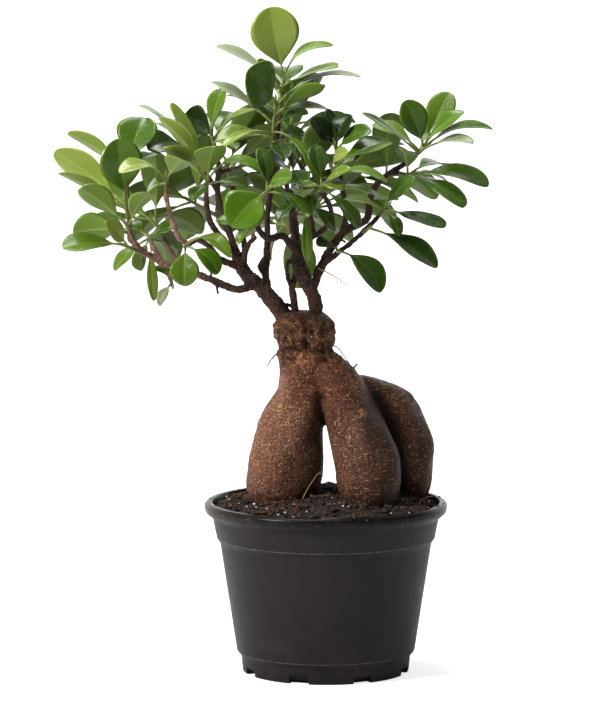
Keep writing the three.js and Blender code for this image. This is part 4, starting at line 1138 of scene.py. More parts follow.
def grainBall(centre, radius, rng, flat=1.0):
    ragged = rng.uniform(*soil["raggedness"], (len(ballCorners), 1))
    spread = np.array(ballCorners) * ragged * radius * [1, rng.uniform(*soil["narrowness"]), flat]
    turn = rng.uniform(0, 2 * math.pi)
    c, s = math.cos(turn), math.sin(turn)
    return spread @ np.array([[c, s, 0], [-s, c, 0], [0, 0, 1]]) + centre


def makeBed(topRadius):
    s = soil
    turn = np.arange(s["sides"]) * 2 * math.pi / s["sides"]
    skirt = [(pot["baseRadius"] - s["wallGap"], s["bottom"]),
             (pot["bodyBottom"] - s["wallGap"], s["skirtHeight"]),
             (pot["bodyTop"] - s["wallGap"], pot["bodyTopHeight"]),
             (topRadius - 0.3, s["edgeHeight"] - 3)]
    points = [(r * math.cos(a), r * math.sin(a), z) for r, z in skirt for a in turn]
    radii = topRadius * np.linspace(1, 0.03, s["rings"])
    for r in radii:
        x, y = r * np.cos(turn), r * np.sin(turn)
        z = soilHeight(x, y)
        flat = np.stack([x, y, z], axis=1)
        z = z + s["coarse"] * noiseOn(flat, *s["coarseNoise"]) + s["fine"] * noiseOn(flat, *s["fineNoise"])
        points += list(zip(x, y, z))
    faces = skinFaces(len(skirt) + len(radii), s["sides"])
    bed = meshPiece("peatBed", points, faces, soilMaterial("peatSurface"))
    settle(bed, "soil", "soil")


def makeLitter(topRadius):
    s = soil
    rng = np.random.default_rng(s["seed"])
    points, faces, tones = [], [], []

    def freeSpot(limit):
        while True:
            r = limit * math.sqrt(rng.uniform(0, 1))
            a = rng.uniform(0, 2 * math.pi)
            x, y = r * math.cos(a), r * math.sin(a)
            place = np.array([[x, y, soilHeight(x, y)]])
            if min(outsideRoot(rings, place)[0] for rings in rootBodies) > 0.5:
                return place[0]

    def above(lift):
        return freeSpot(topRadius - 1) + [0, 0, rng.uniform(*lift)]

    def addPart(newPoints, newFaces, tone):
        start = len(points)
        points.extend(newPoints)
        faces.extend(tuple(start + i for i in face) for face in newFaces)
        tones.extend([tone] * len(newPoints))

    power, share = s["crumbSpread"]
    for _ in range(s["crumbs"]):
        size = rng.uniform(*s["crumbSize"]) ** power * share
        reddish = s["crumbTone"] if rng.uniform() < s["crumbRed"] else 0.0
        addPart(grainBall(above(s["crumbLift"]), size, rng, s["crumbFlat"]), ballFaces, (reddish, 0, 0))
    for _ in range(s["chips"]):
        size = rng.uniform(*s["chipSize"])
        chip = grainBall(above(s["chipLift"]), size, rng, s["chipFlat"])
        addPart(chip, ballFaces, (rng.uniform(*s["chipTone"]), 0, 0))
    for _ in range(s["perlite"]):
        size = rng.uniform(*s["perliteSize"])
        addPart(grainBall(above(s["perliteLift"]), size, rng, s["perliteFlat"]), ballFaces, (0, 0, 1))
    for _ in range(s["fibres"]):
        step = rng.uniform(*s["fibreLength"]) / s["fibreSteps"]
        head = rng.uniform(0, 2 * math.pi)
        place = freeSpot(topRadius - 4)
        route = []
        for k in range(s["fibreSteps"] + 1):
            arch = s["fibreArch"] * math.sin(math.pi * k / s["fibreSteps"])
            route.append(place + [0, 0, s["fibreLift"] + arch * rng.uniform(0.2, 1)])
            head += rng.uniform(-s["fibreTurn"], s["fibreTurn"])
            x, y = place[0] + step * math.cos(head), place[1] + step * math.sin(head)
            if math.hypot(x, y) > topRadius - 2:
                break
            place = np.array([x, y, soilHeight(x, y)])
        if len(route) < 3:
            continue
        radii = np.full(len(route), rng.uniform(*s["fibreRadius"]))
        rings = tubeRings(np.array(route), radii, s["fibreSides"])
        skin = skinFaces(len(route), s["fibreSides"])
        addPart(rings.reshape(-1, 3), skin, (0, rng.uniform(*s["fibreTone"]), 0))
    for _ in range(s["rimCrumbs"]):
        a = math.radians(rng.normal(*s["rimSide"]) if rng.uniform() < s["rimShare"] else rng.uniform(0, 360))
        r = rng.uniform(*s["rimReach"])
        size = rng.uniform(*s["rimSize"])
        crumb = grainBall((r * math.cos(a), r * math.sin(a), pot["height"] + 0.2), size, rng, s["rimFlat"])
        addPart(crumb, ballFaces, (rng.uniform(*s["rimTone"]), 0, 0))
    litter = meshPiece("peatLitter", points, faces, soilMaterial("peatLitter", loose=True), smooth=False)
    pointColours(litter.data, "grainTone", tones)
    settle(litter, "soil")
    print("soil", len(points))


makeBed(pot["bandTop"] - soil["wallGap"])
makeLitter(pot["bandTop"] - soil["wallGap"])
makeHairs()


# Leafy shoots: where each forks from its limb, its heart, and its leaves by the place of the tip,
# the blade's width, how far the upper face leans to the front in degrees, and the bow

shoots = [
    {"name": "crest", "fork": (-31, 0, 321), "heart": (-26, 0, 367), "leaves": [
        (-34, -8, 411, 30, 73, 3), (4, -10, 388, 15, 22, 9), (7, -22, 376, 15, 21, 2),
        (-67, -10, 387, 17, 16, 4), (-42, -22, 379, 12, 49, 2), (-22, 38, 372, 20, -20, 5),
        (-44, 38, 368, 20, -25, 5)]},
    {"name": "crest_front", "fork": (-32, 1, 314), "heart": (-31, -8, 352), "leaves": [
        (-48, -36, 373, 31, 67, 3), (21, -14, 369, 13, 8, 9), (1, 8, 348, 17, 17, 2),
        (-2, -34, 365, 14, -30, 2), (-12, 4, 368, 10, 8, 2)]},
    {"name": "crest_low", "fork": (-34, 3, 298), "heart": (-32, -14, 340), "leaves": [
        (-70, -18, 366, 17, 13, 2), (-11, -20, 347, 15, 17, 3), (-5, -36, 306, 9.2, 8, 9),
        (-63, -36, 327, 9.5, 8, 6), (-66, -22, 334, 19, 27, 4), (-25, -42, 321, 14.3, 9, 3),
        (-13, -4, 334, 16, 31, 3)]},
    {"name": "upper_left", "fork": (-66, 20, 312), "heart": (-70, 8, 331), "leaves": [
        (-62, 2, 361, 15, 26, 3), (-86, -20, 346, 19, 63, 3), (-42, 14, 347, 11.3, 8, 5),
        (-55, -14, 324, 14, 8, 3), (-55, 34, 344, 19, 10, 6), (-84, 36, 342, 19, 15, 6)]},
    {"name": "upper_left_back", "fork": (-67, 18, 297), "heart": (-87, 14, 326), "leaves": [
        (-115, 12, 350, 14, 9, 3), (-109, -6, 324, 20, 45, 4), (-103, 44, 337, 19, 10, 6),
        (-81, 50, 338, 18, 10, 5)]},
    {"name": "fan", "fork": (-73, -31, 296), "heart": (-72, -38, 307), "leaves": [
        (-101, -48, 346, 17, 22, 4), (-96, -58, 329, 19, -23, 3), (-36, -50, 312, 16, 21, 12),
        (-68, -60, 333, 20, 17, 3), (-80, -66, 298, 11.7, 8, 3), (-48, -58, 305, 14, 18, 3),
        (-94, -28, 354, 13.7, 8, 3)]},
    {"name": "front_up", "fork": (-97, -32, 296), "heart": (-97, -34, 307), "leaves": [
        (-87, -66, 322, 17, -58, 3), (-124, -62, 314, 15, 26, 8), (-110, -12, 295, 16, 51, 3)]},
    {"name": "outer_top", "fork": (-119, -20, 270), "heart": (-122, -14, 312), "leaves": [
        (-111, 2, 343, 26, 27, 3), (-158, -8, 334, 16, -31, 3), (-103, 4, 323, 13.4, 8, 5),
        (-134, 30, 322, 18, 15, 6)]},
    {"name": "outer_mid", "fork": (-118, -20, 269), "heart": (-122, -30, 293), "leaves": [
        (-119, -46, 332, 27, 34, 3), (-165, -24, 324, 20, -61, 3), (-162, -38, 312, 12, -25, 3)]},
    {"name": "outer_low", "fork": (-114, -19, 264), "heart": (-121, -36, 280), "leaves": [
        (-148, -50, 304, 19, -44, 3), (-106, -52, 301, 15, -22, 3), (-154, -28, 275, 21, -69, 3)]},
    {"name": "outer_foot", "fork": (-106, -18, 259), "heart": (-122, -38, 268), "leaves": [
        (-159, -52, 268, 20, 33, 3), (-133, -54, 284, 13, 54, 2)]},
    {"name": "inner_low", "fork": (-106, 2, 262), "heart": (-109, 14, 268), "leaves": [
        (-94, 0, 275, 15, 39, 3), (-130, 0, 249, 11.8, 8, 3), (-106, 2, 230, 7, 8, 3),
        (-115, 30, 246, 13, 23, 3), (-128, 34, 270, 19, 15, 5), (-100, 44, 250, 18, 30, 5)]},
    {"name": "hanging", "fork": (-96, -1, 246), "heart": (-95, 7, 240), "leaves": [
        (-102, -10, 228, 7, 8, 3), (-106, 36, 248, 15, 40, 4)]},
    {"name": "front_left", "fork": (-83, -41, 269), "heart": (-85, -52, 269), "leaves": [
        (-85, -64, 246, 18, 8, 4), (-65, -58, 253, 16, 29, 4), (-58, -72, 264, 14, 15, 9)]},
    {"name": "left_stub", "fork": (-44, -25, 271), "heart": (-45, -35, 277), "leaves": [
        (-53, -50, 270, 7, 8, 3), (-67, -30, 282, 15, 26, 3)]},
    {"name": "cross", "fork": (-40, -47, 295), "heart": (-35, -56, 303), "leaves": [
        (-57, -76, 283, 27, 68, 5), (-21, -78, 312, 17, 54, 4), (-13, -70, 290, 15, 8, 4),
        (-34, -42, 326, 12.4, 8, 4)]},
    {"name": "right_top", "fork": (7, -11, 313), "heart": (6, -14, 324), "leaves": [
        (-10, -26, 343, 16, 45, 3), (15, -18, 346, 16, 25, 3), (27, -30, 337, 15, 41, 4),
        (1, -6, 349, 9.4, 8, 3), (0, 28, 336, 18, 10, 5)]},
    {"name": "right_young", "fork": (10, -3, 299), "heart": (3, -32, 315), "leaves": [
        (13, -48, 325, 11, 51, 3), (40, -22, 329, 18, 21, 4), (-6, -26, 320, 14, 11, 3)]},
    {"name": "thin", "fork": (-3, -39, 300), "heart": (-3, -48, 304), "leaves": [
        (9, -66, 304, 12, 23, 3), (36, -58, 308, 17, 14, 9), (34, -40, 297, 15, 10, 3),
        (19, -58, 280, 16, 8, 3), (-12, -66, 290, 8.7, 9, 3), (14, -64, 316, 12, 37, 3),
        (-7, -38, 329, 12.9, 8, 3), (-13, -66, 306, 10, 44, 2)]},
    {"name": "far_high", "fork": (48, 3, 314), "heart": (60, 2, 324), "leaves": [
        (48, -8, 354, 18, 54, 3), (76, 12, 358, 18, 35, 3), (84, -10, 347, 15, 32, 4),
        (102, -2, 336, 16, 11, 7), (89, -22, 329, 15, 16, 4), (28, 6, 338, 16, 21, 4),
        (71, 46, 339, 18, 15, 6), (22, -18, 347, 11, 26, 2)]},
    {"name": "far_low", "fork": (41, 7, 309), "heart": (52, -4, 308), "leaves": [
        (99, -18, 303, 20, 28, 6), (84, -30, 291, 17, 17, 3), (79, 40, 308, 19, 20, 6),
        (46, -24, 325, 15, 33, 3), (75, 8, 307, 12, 8, 3)]},
    {"name": "under", "fork": (30, -8, 281), "heart": (36, -10, 288), "leaves": [
        (54, -28, 308, 15, 45, 4), (72, -34, 279, 17, 21, 1), (44, -30, 273, 9, 8, 3),
        (10, -26, 295, 14, -29, 3)]},
    {"name": "under_low", "fork": (21, -9, 272), "heart": (26, -20, 277), "leaves": [
        (67, -34, 254, 20, 20, 4)]},
    {"name": "right_low", "fork": (9, -9, 262), "heart": (7, -20, 263), "leaves": [
        (33, -34, 239, 20, 21, 7), (-5, -40, 268, 13, 44, 3)]},
    {"name": "middle_up", "fork": (-24, -10, 302), "heart": (-23, -14, 312), "leaves": [
        (-35, -34, 328, 18, 55, 3), (-8, -44, 320, 14, 55, 3)]},
    {"name": "centre", "fork": (-21, -6, 283), "heart": (-13, -30, 294), "leaves": [
        (-4, -38, 259, 7, 8, 3), (-30, -54, 284, 9, 8, 4), (8, -26, 279, 14, 18, 3),
        (-17, -58, 312, 15, 49, 3)]},
    {"name": "inner_back", "fork": (-18, 16, 270), "heart": (-25, 28, 275), "leaves": [
        (-34, 38, 252, 14, 25, 3), (-52, 40, 268, 14, 10, 4)]},
]

farShoots = [
    {"name": "back_left", "fork": (-58, 35, 297), "heart": (-62, 46, 310),
     "count": 6, "seed": 91644},
    {"name": "back_left_low", "fork": (-53, 20, 273), "heart": (-85, 41, 289),
     "count": 6, "seed": 45086},
    {"name": "back_left_high", "fork": (-66, 20, 308), "heart": (-52, 46, 310),
     "count": 5, "seed": 50319},
    {"name": "back_middle", "fork": (-22, 29, 294), "heart": (-19, 53, 300),
     "count": 6, "seed": 29114},
    {"name": "back_middle_low", "fork": (-19, 19, 276), "heart": (-22, 40, 280),
     "count": 5, "seed": 85708},
    {"name": "back_middle_high", "fork": (-12, 33, 305), "heart": (-22, 51, 322),
     "count": 5, "seed": 52634},
    {"name": "back_right", "fork": (-12, 30, 300), "heart": (14, 51, 305),
     "count": 6, "seed": 47534},
    {"name": "back_right_low", "fork": (-11, 18, 284), "heart": (-7, 43, 284),
     "count": 6, "seed": 28321},
    {"name": "back_right_high", "fork": (35, 12, 304), "heart": (38, 34, 304),
     "count": 4, "seed": 83033},
    {"name": "back_crest", "fork": (-34, 3, 298), "heart": (-22, 25, 336),
     "count": 3, "seed": 30618},
    {"name": "back_outer", "fork": (-88, -16, 250), "heart": (-107, 25, 279),
     "count": 5, "seed": 79036},
]

allShoots = shoots + farShoots

leafShape = {
    "twigRadius": 1.3, "twigTip": 1.0, "twigFootClear": 4.0, "spacing": 2.4,
    "petioleShare": 0.18, "petioleRadius": 0.8, "foldSlope": 0.22,
    "outlineSkew": 1.25, "outlineFullness": 0.68,
    "bladeClearance": 2.3, "sisterClearance": 1.1, "sisterShare": 0.5,
    "stemClearance": 1.3, "edgeMargin": 1.2, "rodSpacing": 3.5,
    "nudgeTries": 90, "nudgeStep": 5.2, "goldenAngle": 137.508,
    "farLength": (40, 50), "farWidth": (17, 22), "farSpread": (48, 92), "farSpin": 40,
    "farFace": -60, "farBow": (3, 5),
}
sampleShares = np.repeat([0.1, 0.22, 0.34, 0.46, 0.58, 0.7, 0.82, 0.92, 1.0], 5)
sampleSides = np.tile([-1, -0.5, 0, 0.5, 1], 9)


def unit(v):
    return v / np.linalg.norm(v)


def drawer(seed):
    state = seed
    while True:
        state = (state * 16807) % 2147483647
        yield state / 2147483647


def leafFrame(base, tip, wide, face, bow):
    chord = np.linalg.norm(tip - base)
    aim = (tip - base) / chord
    lift = np.array([0, -math.sin(math.radians(face)), math.cos(math.radians(face))])
    lift = unit(lift - aim * lift.dot(aim))
    return {"base": base, "aim": aim, "lift": lift, "side": np.cross(aim, lift),
            "chord": chord, "wide": wide, "bow": bow}


def halfWidthAt(one, share):
    t = (share - leafShape["petioleShare"]) / (1 - leafShape["petioleShare"])
    swell = np.sin(math.pi * np.clip(t, 0, 1) ** leafShape["outlineSkew"]).clip(0)
    half = one["wide"] / 2 * swell ** leafShape["outlineFullness"]
    stem = leafShape["petioleRadius"]
    return np.where((t <= 0) | (t >= 1), stem, np.maximum(stem, half))


def heightAt(one, share, across):
    u = np.clip(share, 0, 1)
    return one["bow"] * 4 * u * (1 - u) + np.abs(across) * leafShape["foldSlope"]


def pointsOn(one, share, across, rise=0.0):
    high = heightAt(one, share, across) + rise
    return (one["base"] + np.multiply.outer(share * one["chord"], one["aim"])
            + np.multiply.outer(across, one["side"]) + np.multiply.outer(high, one["lift"]))


# How far points stand off a leaf's surface, and a large number where the leaf doesn't reach them
def standOff(one, places, margin):
    offset = places - one["base"]
    along, across = offset @ one["aim"], offset @ one["side"]
    share = along / one["chord"]
    reached = ((along >= -margin) & (along <= one["chord"] + margin)
               & (np.abs(across) <= halfWidthAt(one, share) + margin))
    off = np.abs(offset @ one["lift"] - heightAt(one, share, across))
    return np.where(reached, off, 1e6)


def rodPoints(route, radii):
    rods = []
    spans = len(route) - 1
    for i in range(spans):
        a, b = np.array(route[i], float), np.array(route[i + 1], float)
        count = math.ceil(np.linalg.norm(b - a) / leafShape["rodSpacing"])
        for k in range(count):
            radius = radii[0] + (radii[1] - radii[0]) * (i + k / count) / spans
            rods.append([*(a + (b - a) * k / count), radius])
    return rods


def leafBase(shoot, index, count):
    heart = np.array(shoot["heart"], float)
    down = spurEnd(shoot) - heart
    room = np.linalg.norm(down) - leafShape["twigFootClear"]
    return heart + unit(down) * min(leafShape["spacing"], room / count) * index


def farRows(shoot):
    draw = drawer(shoot["seed"])
    heart = np.array(shoot["heart"], float)
    axis = unit(heart - np.array(shoot["fork"], float))
    side = unit(np.array([1.0, 0, 0]) - axis * axis[0])
    third = np.cross(axis, side)

    def between(ends):
        return ends[0] + (ends[1] - ends[0]) * next(draw)

    rows = []
    for i in range(shoot["count"]):
        spin = math.radians(i * leafShape["goldenAngle"] + leafShape["farSpin"] * next(draw))
        spread = math.radians(between(leafShape["farSpread"]))
        length = between(leafShape["farLength"])
        outward = side * math.cos(spin) + third * math.sin(spin)
        tip = heart + length * (axis * math.cos(spread) + outward * math.sin(spread))
        wide, face = between(leafShape["farWidth"]), leafShape["farFace"] * next(draw)
        flat, extra = leafShape["farBow"]
        rows.append([*tip, wide, face, flat + extra * next(draw)])
    return rows


def pointsClear(points, one, sisters):
    off = standOff(one, points, 0 if sisters else leafShape["edgeMargin"])
    if sisters:
        off = off[sampleShares >= leafShape["sisterShare"]]
    return off.min() >= (leafShape["sisterClearance"] if sisters else leafShape["bladeClearance"])


# The same rule as the solid leaves: each is turned aside in a widening spiral until it is clear
def placeLeaves():
    rods, owners = [], []
    for limb in limbs.values():
        rods += rodPoints(limb["route"], limb["radii"])
    owners = ["trunk"] * len(rods)
    for shoot in allShoots:
        middle = spurEnd(shoot)
        spur = rodPoints([shoot["fork"], middle], (wood["spurBase"], wood["spurTip"]))
        twig = rodPoints([middle, shoot["heart"]], (leafShape["twigRadius"], leafShape["twigTip"]))
        rods += spur + twig
        owners += ["trunk"] * len(spur) + [shoot["name"]] * len(twig)
    rods, owners = np.array(rods), np.array(owners)
    placed = []

    def isClear(one, owner, points, middle):
        others = owners != owner
        radius = rods[others, 3]
        if (standOff(one, rods[others, :3], radius + leafShape["edgeMargin"])
                < radius + leafShape["stemClearance"]).any():
            return False
        for other in placed:
            reach = (one["chord"] + one["wide"] + other["leaf"]["chord"] + other["leaf"]["wide"]) / 2
            if np.linalg.norm(middle - other["middle"]) > reach:
                continue
            sisters = other["owner"] == owner
            if not (pointsClear(points, other["leaf"], sisters)
                    and pointsClear(other["points"], one, sisters)):
                return False
        return True

    found = {}
    for shoot in allShoots:
        rows = shoot["leaves"] if "leaves" in shoot else farRows(shoot)
        found[shoot["name"]] = []
        for i, (x, y, z, wide, face, bow) in enumerate(rows):
            base = leafBase(shoot, i, len(rows))
            wanted = leafFrame(base, np.array([x, y, z], float), wide, face, bow)
            for k in range(leafShape["nudgeTries"]):
                lean = math.radians(leafShape["nudgeStep"] * math.sqrt(k))
                spin = math.radians(leafShape["goldenAngle"] * k)
                aim = (wanted["aim"] * math.cos(lean) + wanted["side"] * math.sin(lean) * math.cos(spin)
                       + wanted["lift"] * math.sin(lean) * math.sin(spin))
                one = leafFrame(base, base + aim * wanted["chord"], wide, face, bow)
                halves = halfWidthAt(one, sampleShares)
                points = pointsOn(one, sampleShares, sampleSides * halves)
                middle = pointsOn(one, np.array([0.5]), np.array([0.0]))[0]
                if isClear(one, shoot["name"], points, middle):
                    placed.append({"leaf": one, "owner": shoot["name"], "middle": middle,
                                   "points": points})
                    found[shoot["name"]].append((i, one))
                    break
    return found


blades = {
    "stations": 26, "across": [-1, -0.82, -0.58, -0.34, -0.14, 0, 0.14, 0.34, 0.58, 0.82, 1],
    "petioleRings": [0, 0.06, 0.12], "petioleTaper": 0.15, "leafyBy": 0.10, "narrowest": 0.45,
    "thick": 0.75, "edgeThick": 0.3, "midribTall": 0.5, "midribFade": 0.8, "groove": 0.3, "creaseSoft": 0.7,
    "skew": 1.44, "footPower": 0.82, "tipPower": 0.46,
    "twist": 7.0, "twistShare": 0.9, "wave": 0.5, "waves": 9, "curl": 0.6, "bend": 1.0, "seed": 77,
    "map": 50,  # mm to one unit of the leaf's map
    # the green twig: radii up to its bud, and the bud's rises past the heart
    "twigSides": 10, "twigSteps": 6, "twigSink": 0.8, "budRises": (1.2, 2.6, 4.2, 5.8, 6.6),
    "twigRadii": [1.4, 1.32, 1.25, 1.2, 1.15, 1.1, 1.08, 1.15, 1.1, 0.85, 0.45, 0.15], "woodyRings": 3,
    # leaves of the far shoots are given a dark tone: painted shade deep in the crown
    "shade": (0.15, 1.0), "farShadeTone": (-0.75, -0.15),
    "deep": (0.010, 0.024, 0.006, 1), "dark": (0.022, 0.058, 0.003, 1), "green": (0.082, 0.172, 0.004, 1),
    # the last colour on this line paints the sheen on leaves seen silvery
    "pale": (0.52, 0.57, 0.115, 1), "under": (0.135, 0.215, 0.030, 1), "sheen": (0.27, 0.31, 0.20, 1),
    "vein": (0.36, 0.44, 0.10, 1), "stem": (0.17, 0.21, 0.05, 1), "twig": (0.10, 0.055, 0.030, 1),
    "specular": 0.25, "coat": 0.10, "coatRoughness": 0.22,
    "glow": 0.06, "glowRadius": (1.0, 1.6, 0.35), "glowScale": 0.0012,
    # the material's noises as scale, detail and roughness
    "mottle": (160.0, 4.0, 0.6), "wobble": (70.0, 2.0), "wobbleShare": 0.10, "breaks": (120.0, 2.0),
    "dropClouds": (22.0, 2.0), "grain": 1100.0,
    "drops": {"Scale": 620.0, "Level": 1.0, "Size": 0.40, "Share": 0.35},
    # veins slant forward from the midrib
    "midribEdge": (0.006, 0.017), "veinSlant": -0.62, "veinCount": 88.0, "veinBand": (0.88, 1.0),
    "breakBand": (0.42, 0.62), "veinShade": 0.05, "veinYoung": 0.08,
    # masks: from, to, and what they give at each end
    "tonePower": 1.4, "randomShare": 0.5, "mottleShare": 0.35, "underShare": 0.7,
    "greenBand": (0.52, 0.75, 0.0, 0.2), "sheenBand": (0.3, 0.6, 0.6, 0.95),
    "twigBand": (0.35, 0.6, 0.5, 1.0), "edgeShade": 0.12,
    "ribShade": 0.22, "ribYoung": 0.5, "ribUnder": 0.35, "ribOld": -0.16, "ribLength": 1.15,
    "dropBand": (0.50, 0.60), "dropGloss": -0.22, "glossBand": (0.3, 0.7, 0.19, 0.30), "underRough": 0.20,
    "twigRough": 0.25, "veinRise": 0.5, "mottleRise": 1.1, "grainRise": 0.12, "dropRise": 1.6,
    "bump": (0.35, 0.0004),
}

# Tone of each leaf by shoot and row: -1 dark from age and painted shade, 0 plain, 1 pale from youth and
# painted light, 2 seen silvery, with a painted sheen
leafTones = {
    "crest": (0.42, 0.15, 0.2, 2, 0.45, -0.3, -0.3), "crest_front": (-0.10, 2, 2, 0.0, -0.3),
    "crest_low": (2, -0.7, 0.1, 0.35, 0.25, -0.8, -0.7),
    "upper_left": (0.1, -0.5, 0.4, 0.2, -0.5, -0.4), "upper_left_back": (2, -0.6, -0.4, -0.4),
    "fan": (0.45, 0.55, 0.0, 0.45, -0.5, -0.4, 0.35), "front_up": (0.45, 0.4, 0.15),
    "outer_top": (-0.2, 0.7, 0.0, -0.3), "outer_mid": (0.0, 0.95, 0.6), "outer_low": (0.3, 0.3, 0.15),
    "outer_foot": (0.1, 0.45), "inner_low": (0.1, 0.15, 0.25, -0.2, -0.2, -0.3), "hanging": (2, -0.2),
    "front_left": (0.1, -0.15, 0.2), "left_stub": (0.1, -0.2), "cross": (0.0, 0.1, -0.3, -0.7),
    "right_top": (-1, -1, -0.2, -1, -0.4), "right_young": (0.35, -0.2, -0.4),
    "thin": (0.2, 0.1, -0.35, -0.35, 0.1, 0.2, -0.7, 0.2),
    "far_high": (-0.15, 0.10, 0.0, -0.15, 2, 0.2, -0.3, -0.3), "far_low": (-0.5, -0.45, -0.2, -0.9, 2),
    "under": (-0.35, -0.55, -0.2, 0.2), "under_low": (-0.55,), "right_low": (-0.45, -0.9),
    "middle_up": (-0.7, -0.6), "centre": (0.1, -0.6, -0.5, -0.35), "inner_back": (-0.1, -0.5),
}


def leafMaterial():
    b = blades
    material, tree, shader = newMaterial("glossyLeaf")
    random, toneMap, underMap = attributeParts(tree, "leafTone")[:3]
    stem, edge, twig = attributeParts(tree, "leafParts")[:3]
    place = put(tree, "ShaderNodeTexCoord").outputs["Object"]
    parts = put(tree, "ShaderNodeSeparateXYZ")
    tree.links.new(put(tree, "ShaderNodeUVMap", uv_map="leafMap").outputs[0], parts.inputs[0])
    along, across = parts.outputs["X"], parts.outputs["Y"]
    mottle = noiseAt(tree, place, *b["mottle"])
    grain = effect(tree, grainGroup, Scale=b["grain"], Contrast=1.0)

    def banded(value, key):
        return ramp(tree, value, *b[key])

    # pale leaves are pale from youth and painted light; dark leaves are dark from age and painted shade
    youngAndLit = maths(tree, "POWER", ramp(tree, toneMap, 0.5, 1.0), b["tonePower"])
    old = ramp(tree, toneMap, 0.5, 0.0)
    under = ramp(tree, underMap, 0.0, 0.5)
    # leaves seen silvery get a painted sheen
    sheen = ramp(tree, underMap, 0.5, 1.0)
    upper = maths(tree, "SUBTRACT", 1.0, under, clamp=True)

    off = maths(tree, "ABSOLUTE", maths(tree, "SUBTRACT", across, 0.5))
    wobble = times(tree, noiseAt(tree, place, *b["wobble"]), b["wobbleShare"])
    slant = addUp(tree, along, (off, b["veinSlant"]), (wobble, 1.0))
    waves = maths(tree, "SINE", times(tree, slant, b["veinCount"]))
    broken = banded(noiseAt(tree, place, *b["breaks"]), "breakBand")
    veins = times(tree, banded(waves, "veinBand"), broken)
    veinShade = times(tree, veins, addUp(tree, b["veinShade"], (youngAndLit, b["veinYoung"])))
    rib = addUp(tree, b["ribShade"], (youngAndLit, b["ribYoung"]), (under, b["ribUnder"]), (old, b["ribOld"]))
    rib = times(tree, rib, ramp(tree, off, *b["midribEdge"], 1.0, 0.0))
    rib = times(tree, rib, maths(tree, "SUBTRACT", b["ribLength"], along, clamp=True))
    fresh = addUp(tree, times(tree, random, b["randomShare"]), (mottle, b["mottleShare"]), clamp=True)
    colour = layerColours(
        tree, b["dark"],
        (fresh, b["green"]),
        # pale from youth and painted light, deep from age and painted shade
        (youngAndLit, b["pale"]),
        (old, b["deep"]),
        (times(tree, under, b["underShare"]), b["under"]),
        (banded(mottle, "greenBand"), b["green"]),
        # painted silvery sheen
        (times(tree, sheen, banded(mottle, "sheenBand")), b["sheen"]),
        (veinShade, b["vein"]),
        (rib, b["vein"]),
        (times(tree, edge, b["edgeShade"]), b["vein"]),
        (stem, b["stem"]),
        (times(tree, twig, banded(mottle, "twigBand")), b["twig"]))
    tree.links.new(colour, shader.inputs["Base Color"])
    drops = effect(tree, poresGroup, **b["drops"])
    bladeOnly = maths(tree, "SUBTRACT", 1.0, maths(tree, "MAXIMUM", under, stem), clamp=True)
    dropZone = times(tree, banded(noiseAt(tree, place, *b["dropClouds"]), "dropBand"), bladeOnly)
    wet = times(tree, drops.outputs["Mask"], dropZone)
    rough = addUp(tree, banded(mottle, "glossBand"), (under, b["underRough"]), (twig, b["twigRough"]),
                  (wet, b["dropGloss"]), clamp=True)
    tree.links.new(rough, shader.inputs["Roughness"])
    shader.inputs["Specular IOR Level"].default_value = b["specular"]
    shader.inputs["Coat Roughness"].default_value = b["coatRoughness"]
    tree.links.new(times(tree, upper, b["coat"]), shader.inputs["Coat Weight"])
    shader.inputs["Subsurface Weight"].default_value = b["glow"]
    shader.inputs["Subsurface Radius"].default_value = b["glowRadius"]
    shader.inputs["Subsurface Scale"].default_value = b["glowScale"]
    relief = addUp(tree, 0.0, (veins, b["veinRise"]), (mottle, b["mottleRise"]),
                   (grain.outputs["Height"], b["grainRise"]), (wet, b["dropRise"]))
    tree.links.new(bumpFrom(tree, relief, *b["bump"]), shader.inputs["Normal"])
    return material


# Half width of the fine blade: a wedge at its foot and blunt at its tip
def fineHalfWidth(one, t):
    power = blades["footPower"] + (blades["tipPower"] - blades["footPower"]) * t
    return one["wide"] / 2 * max(math.sin(math.pi * t ** blades["skew"]), 0) ** power


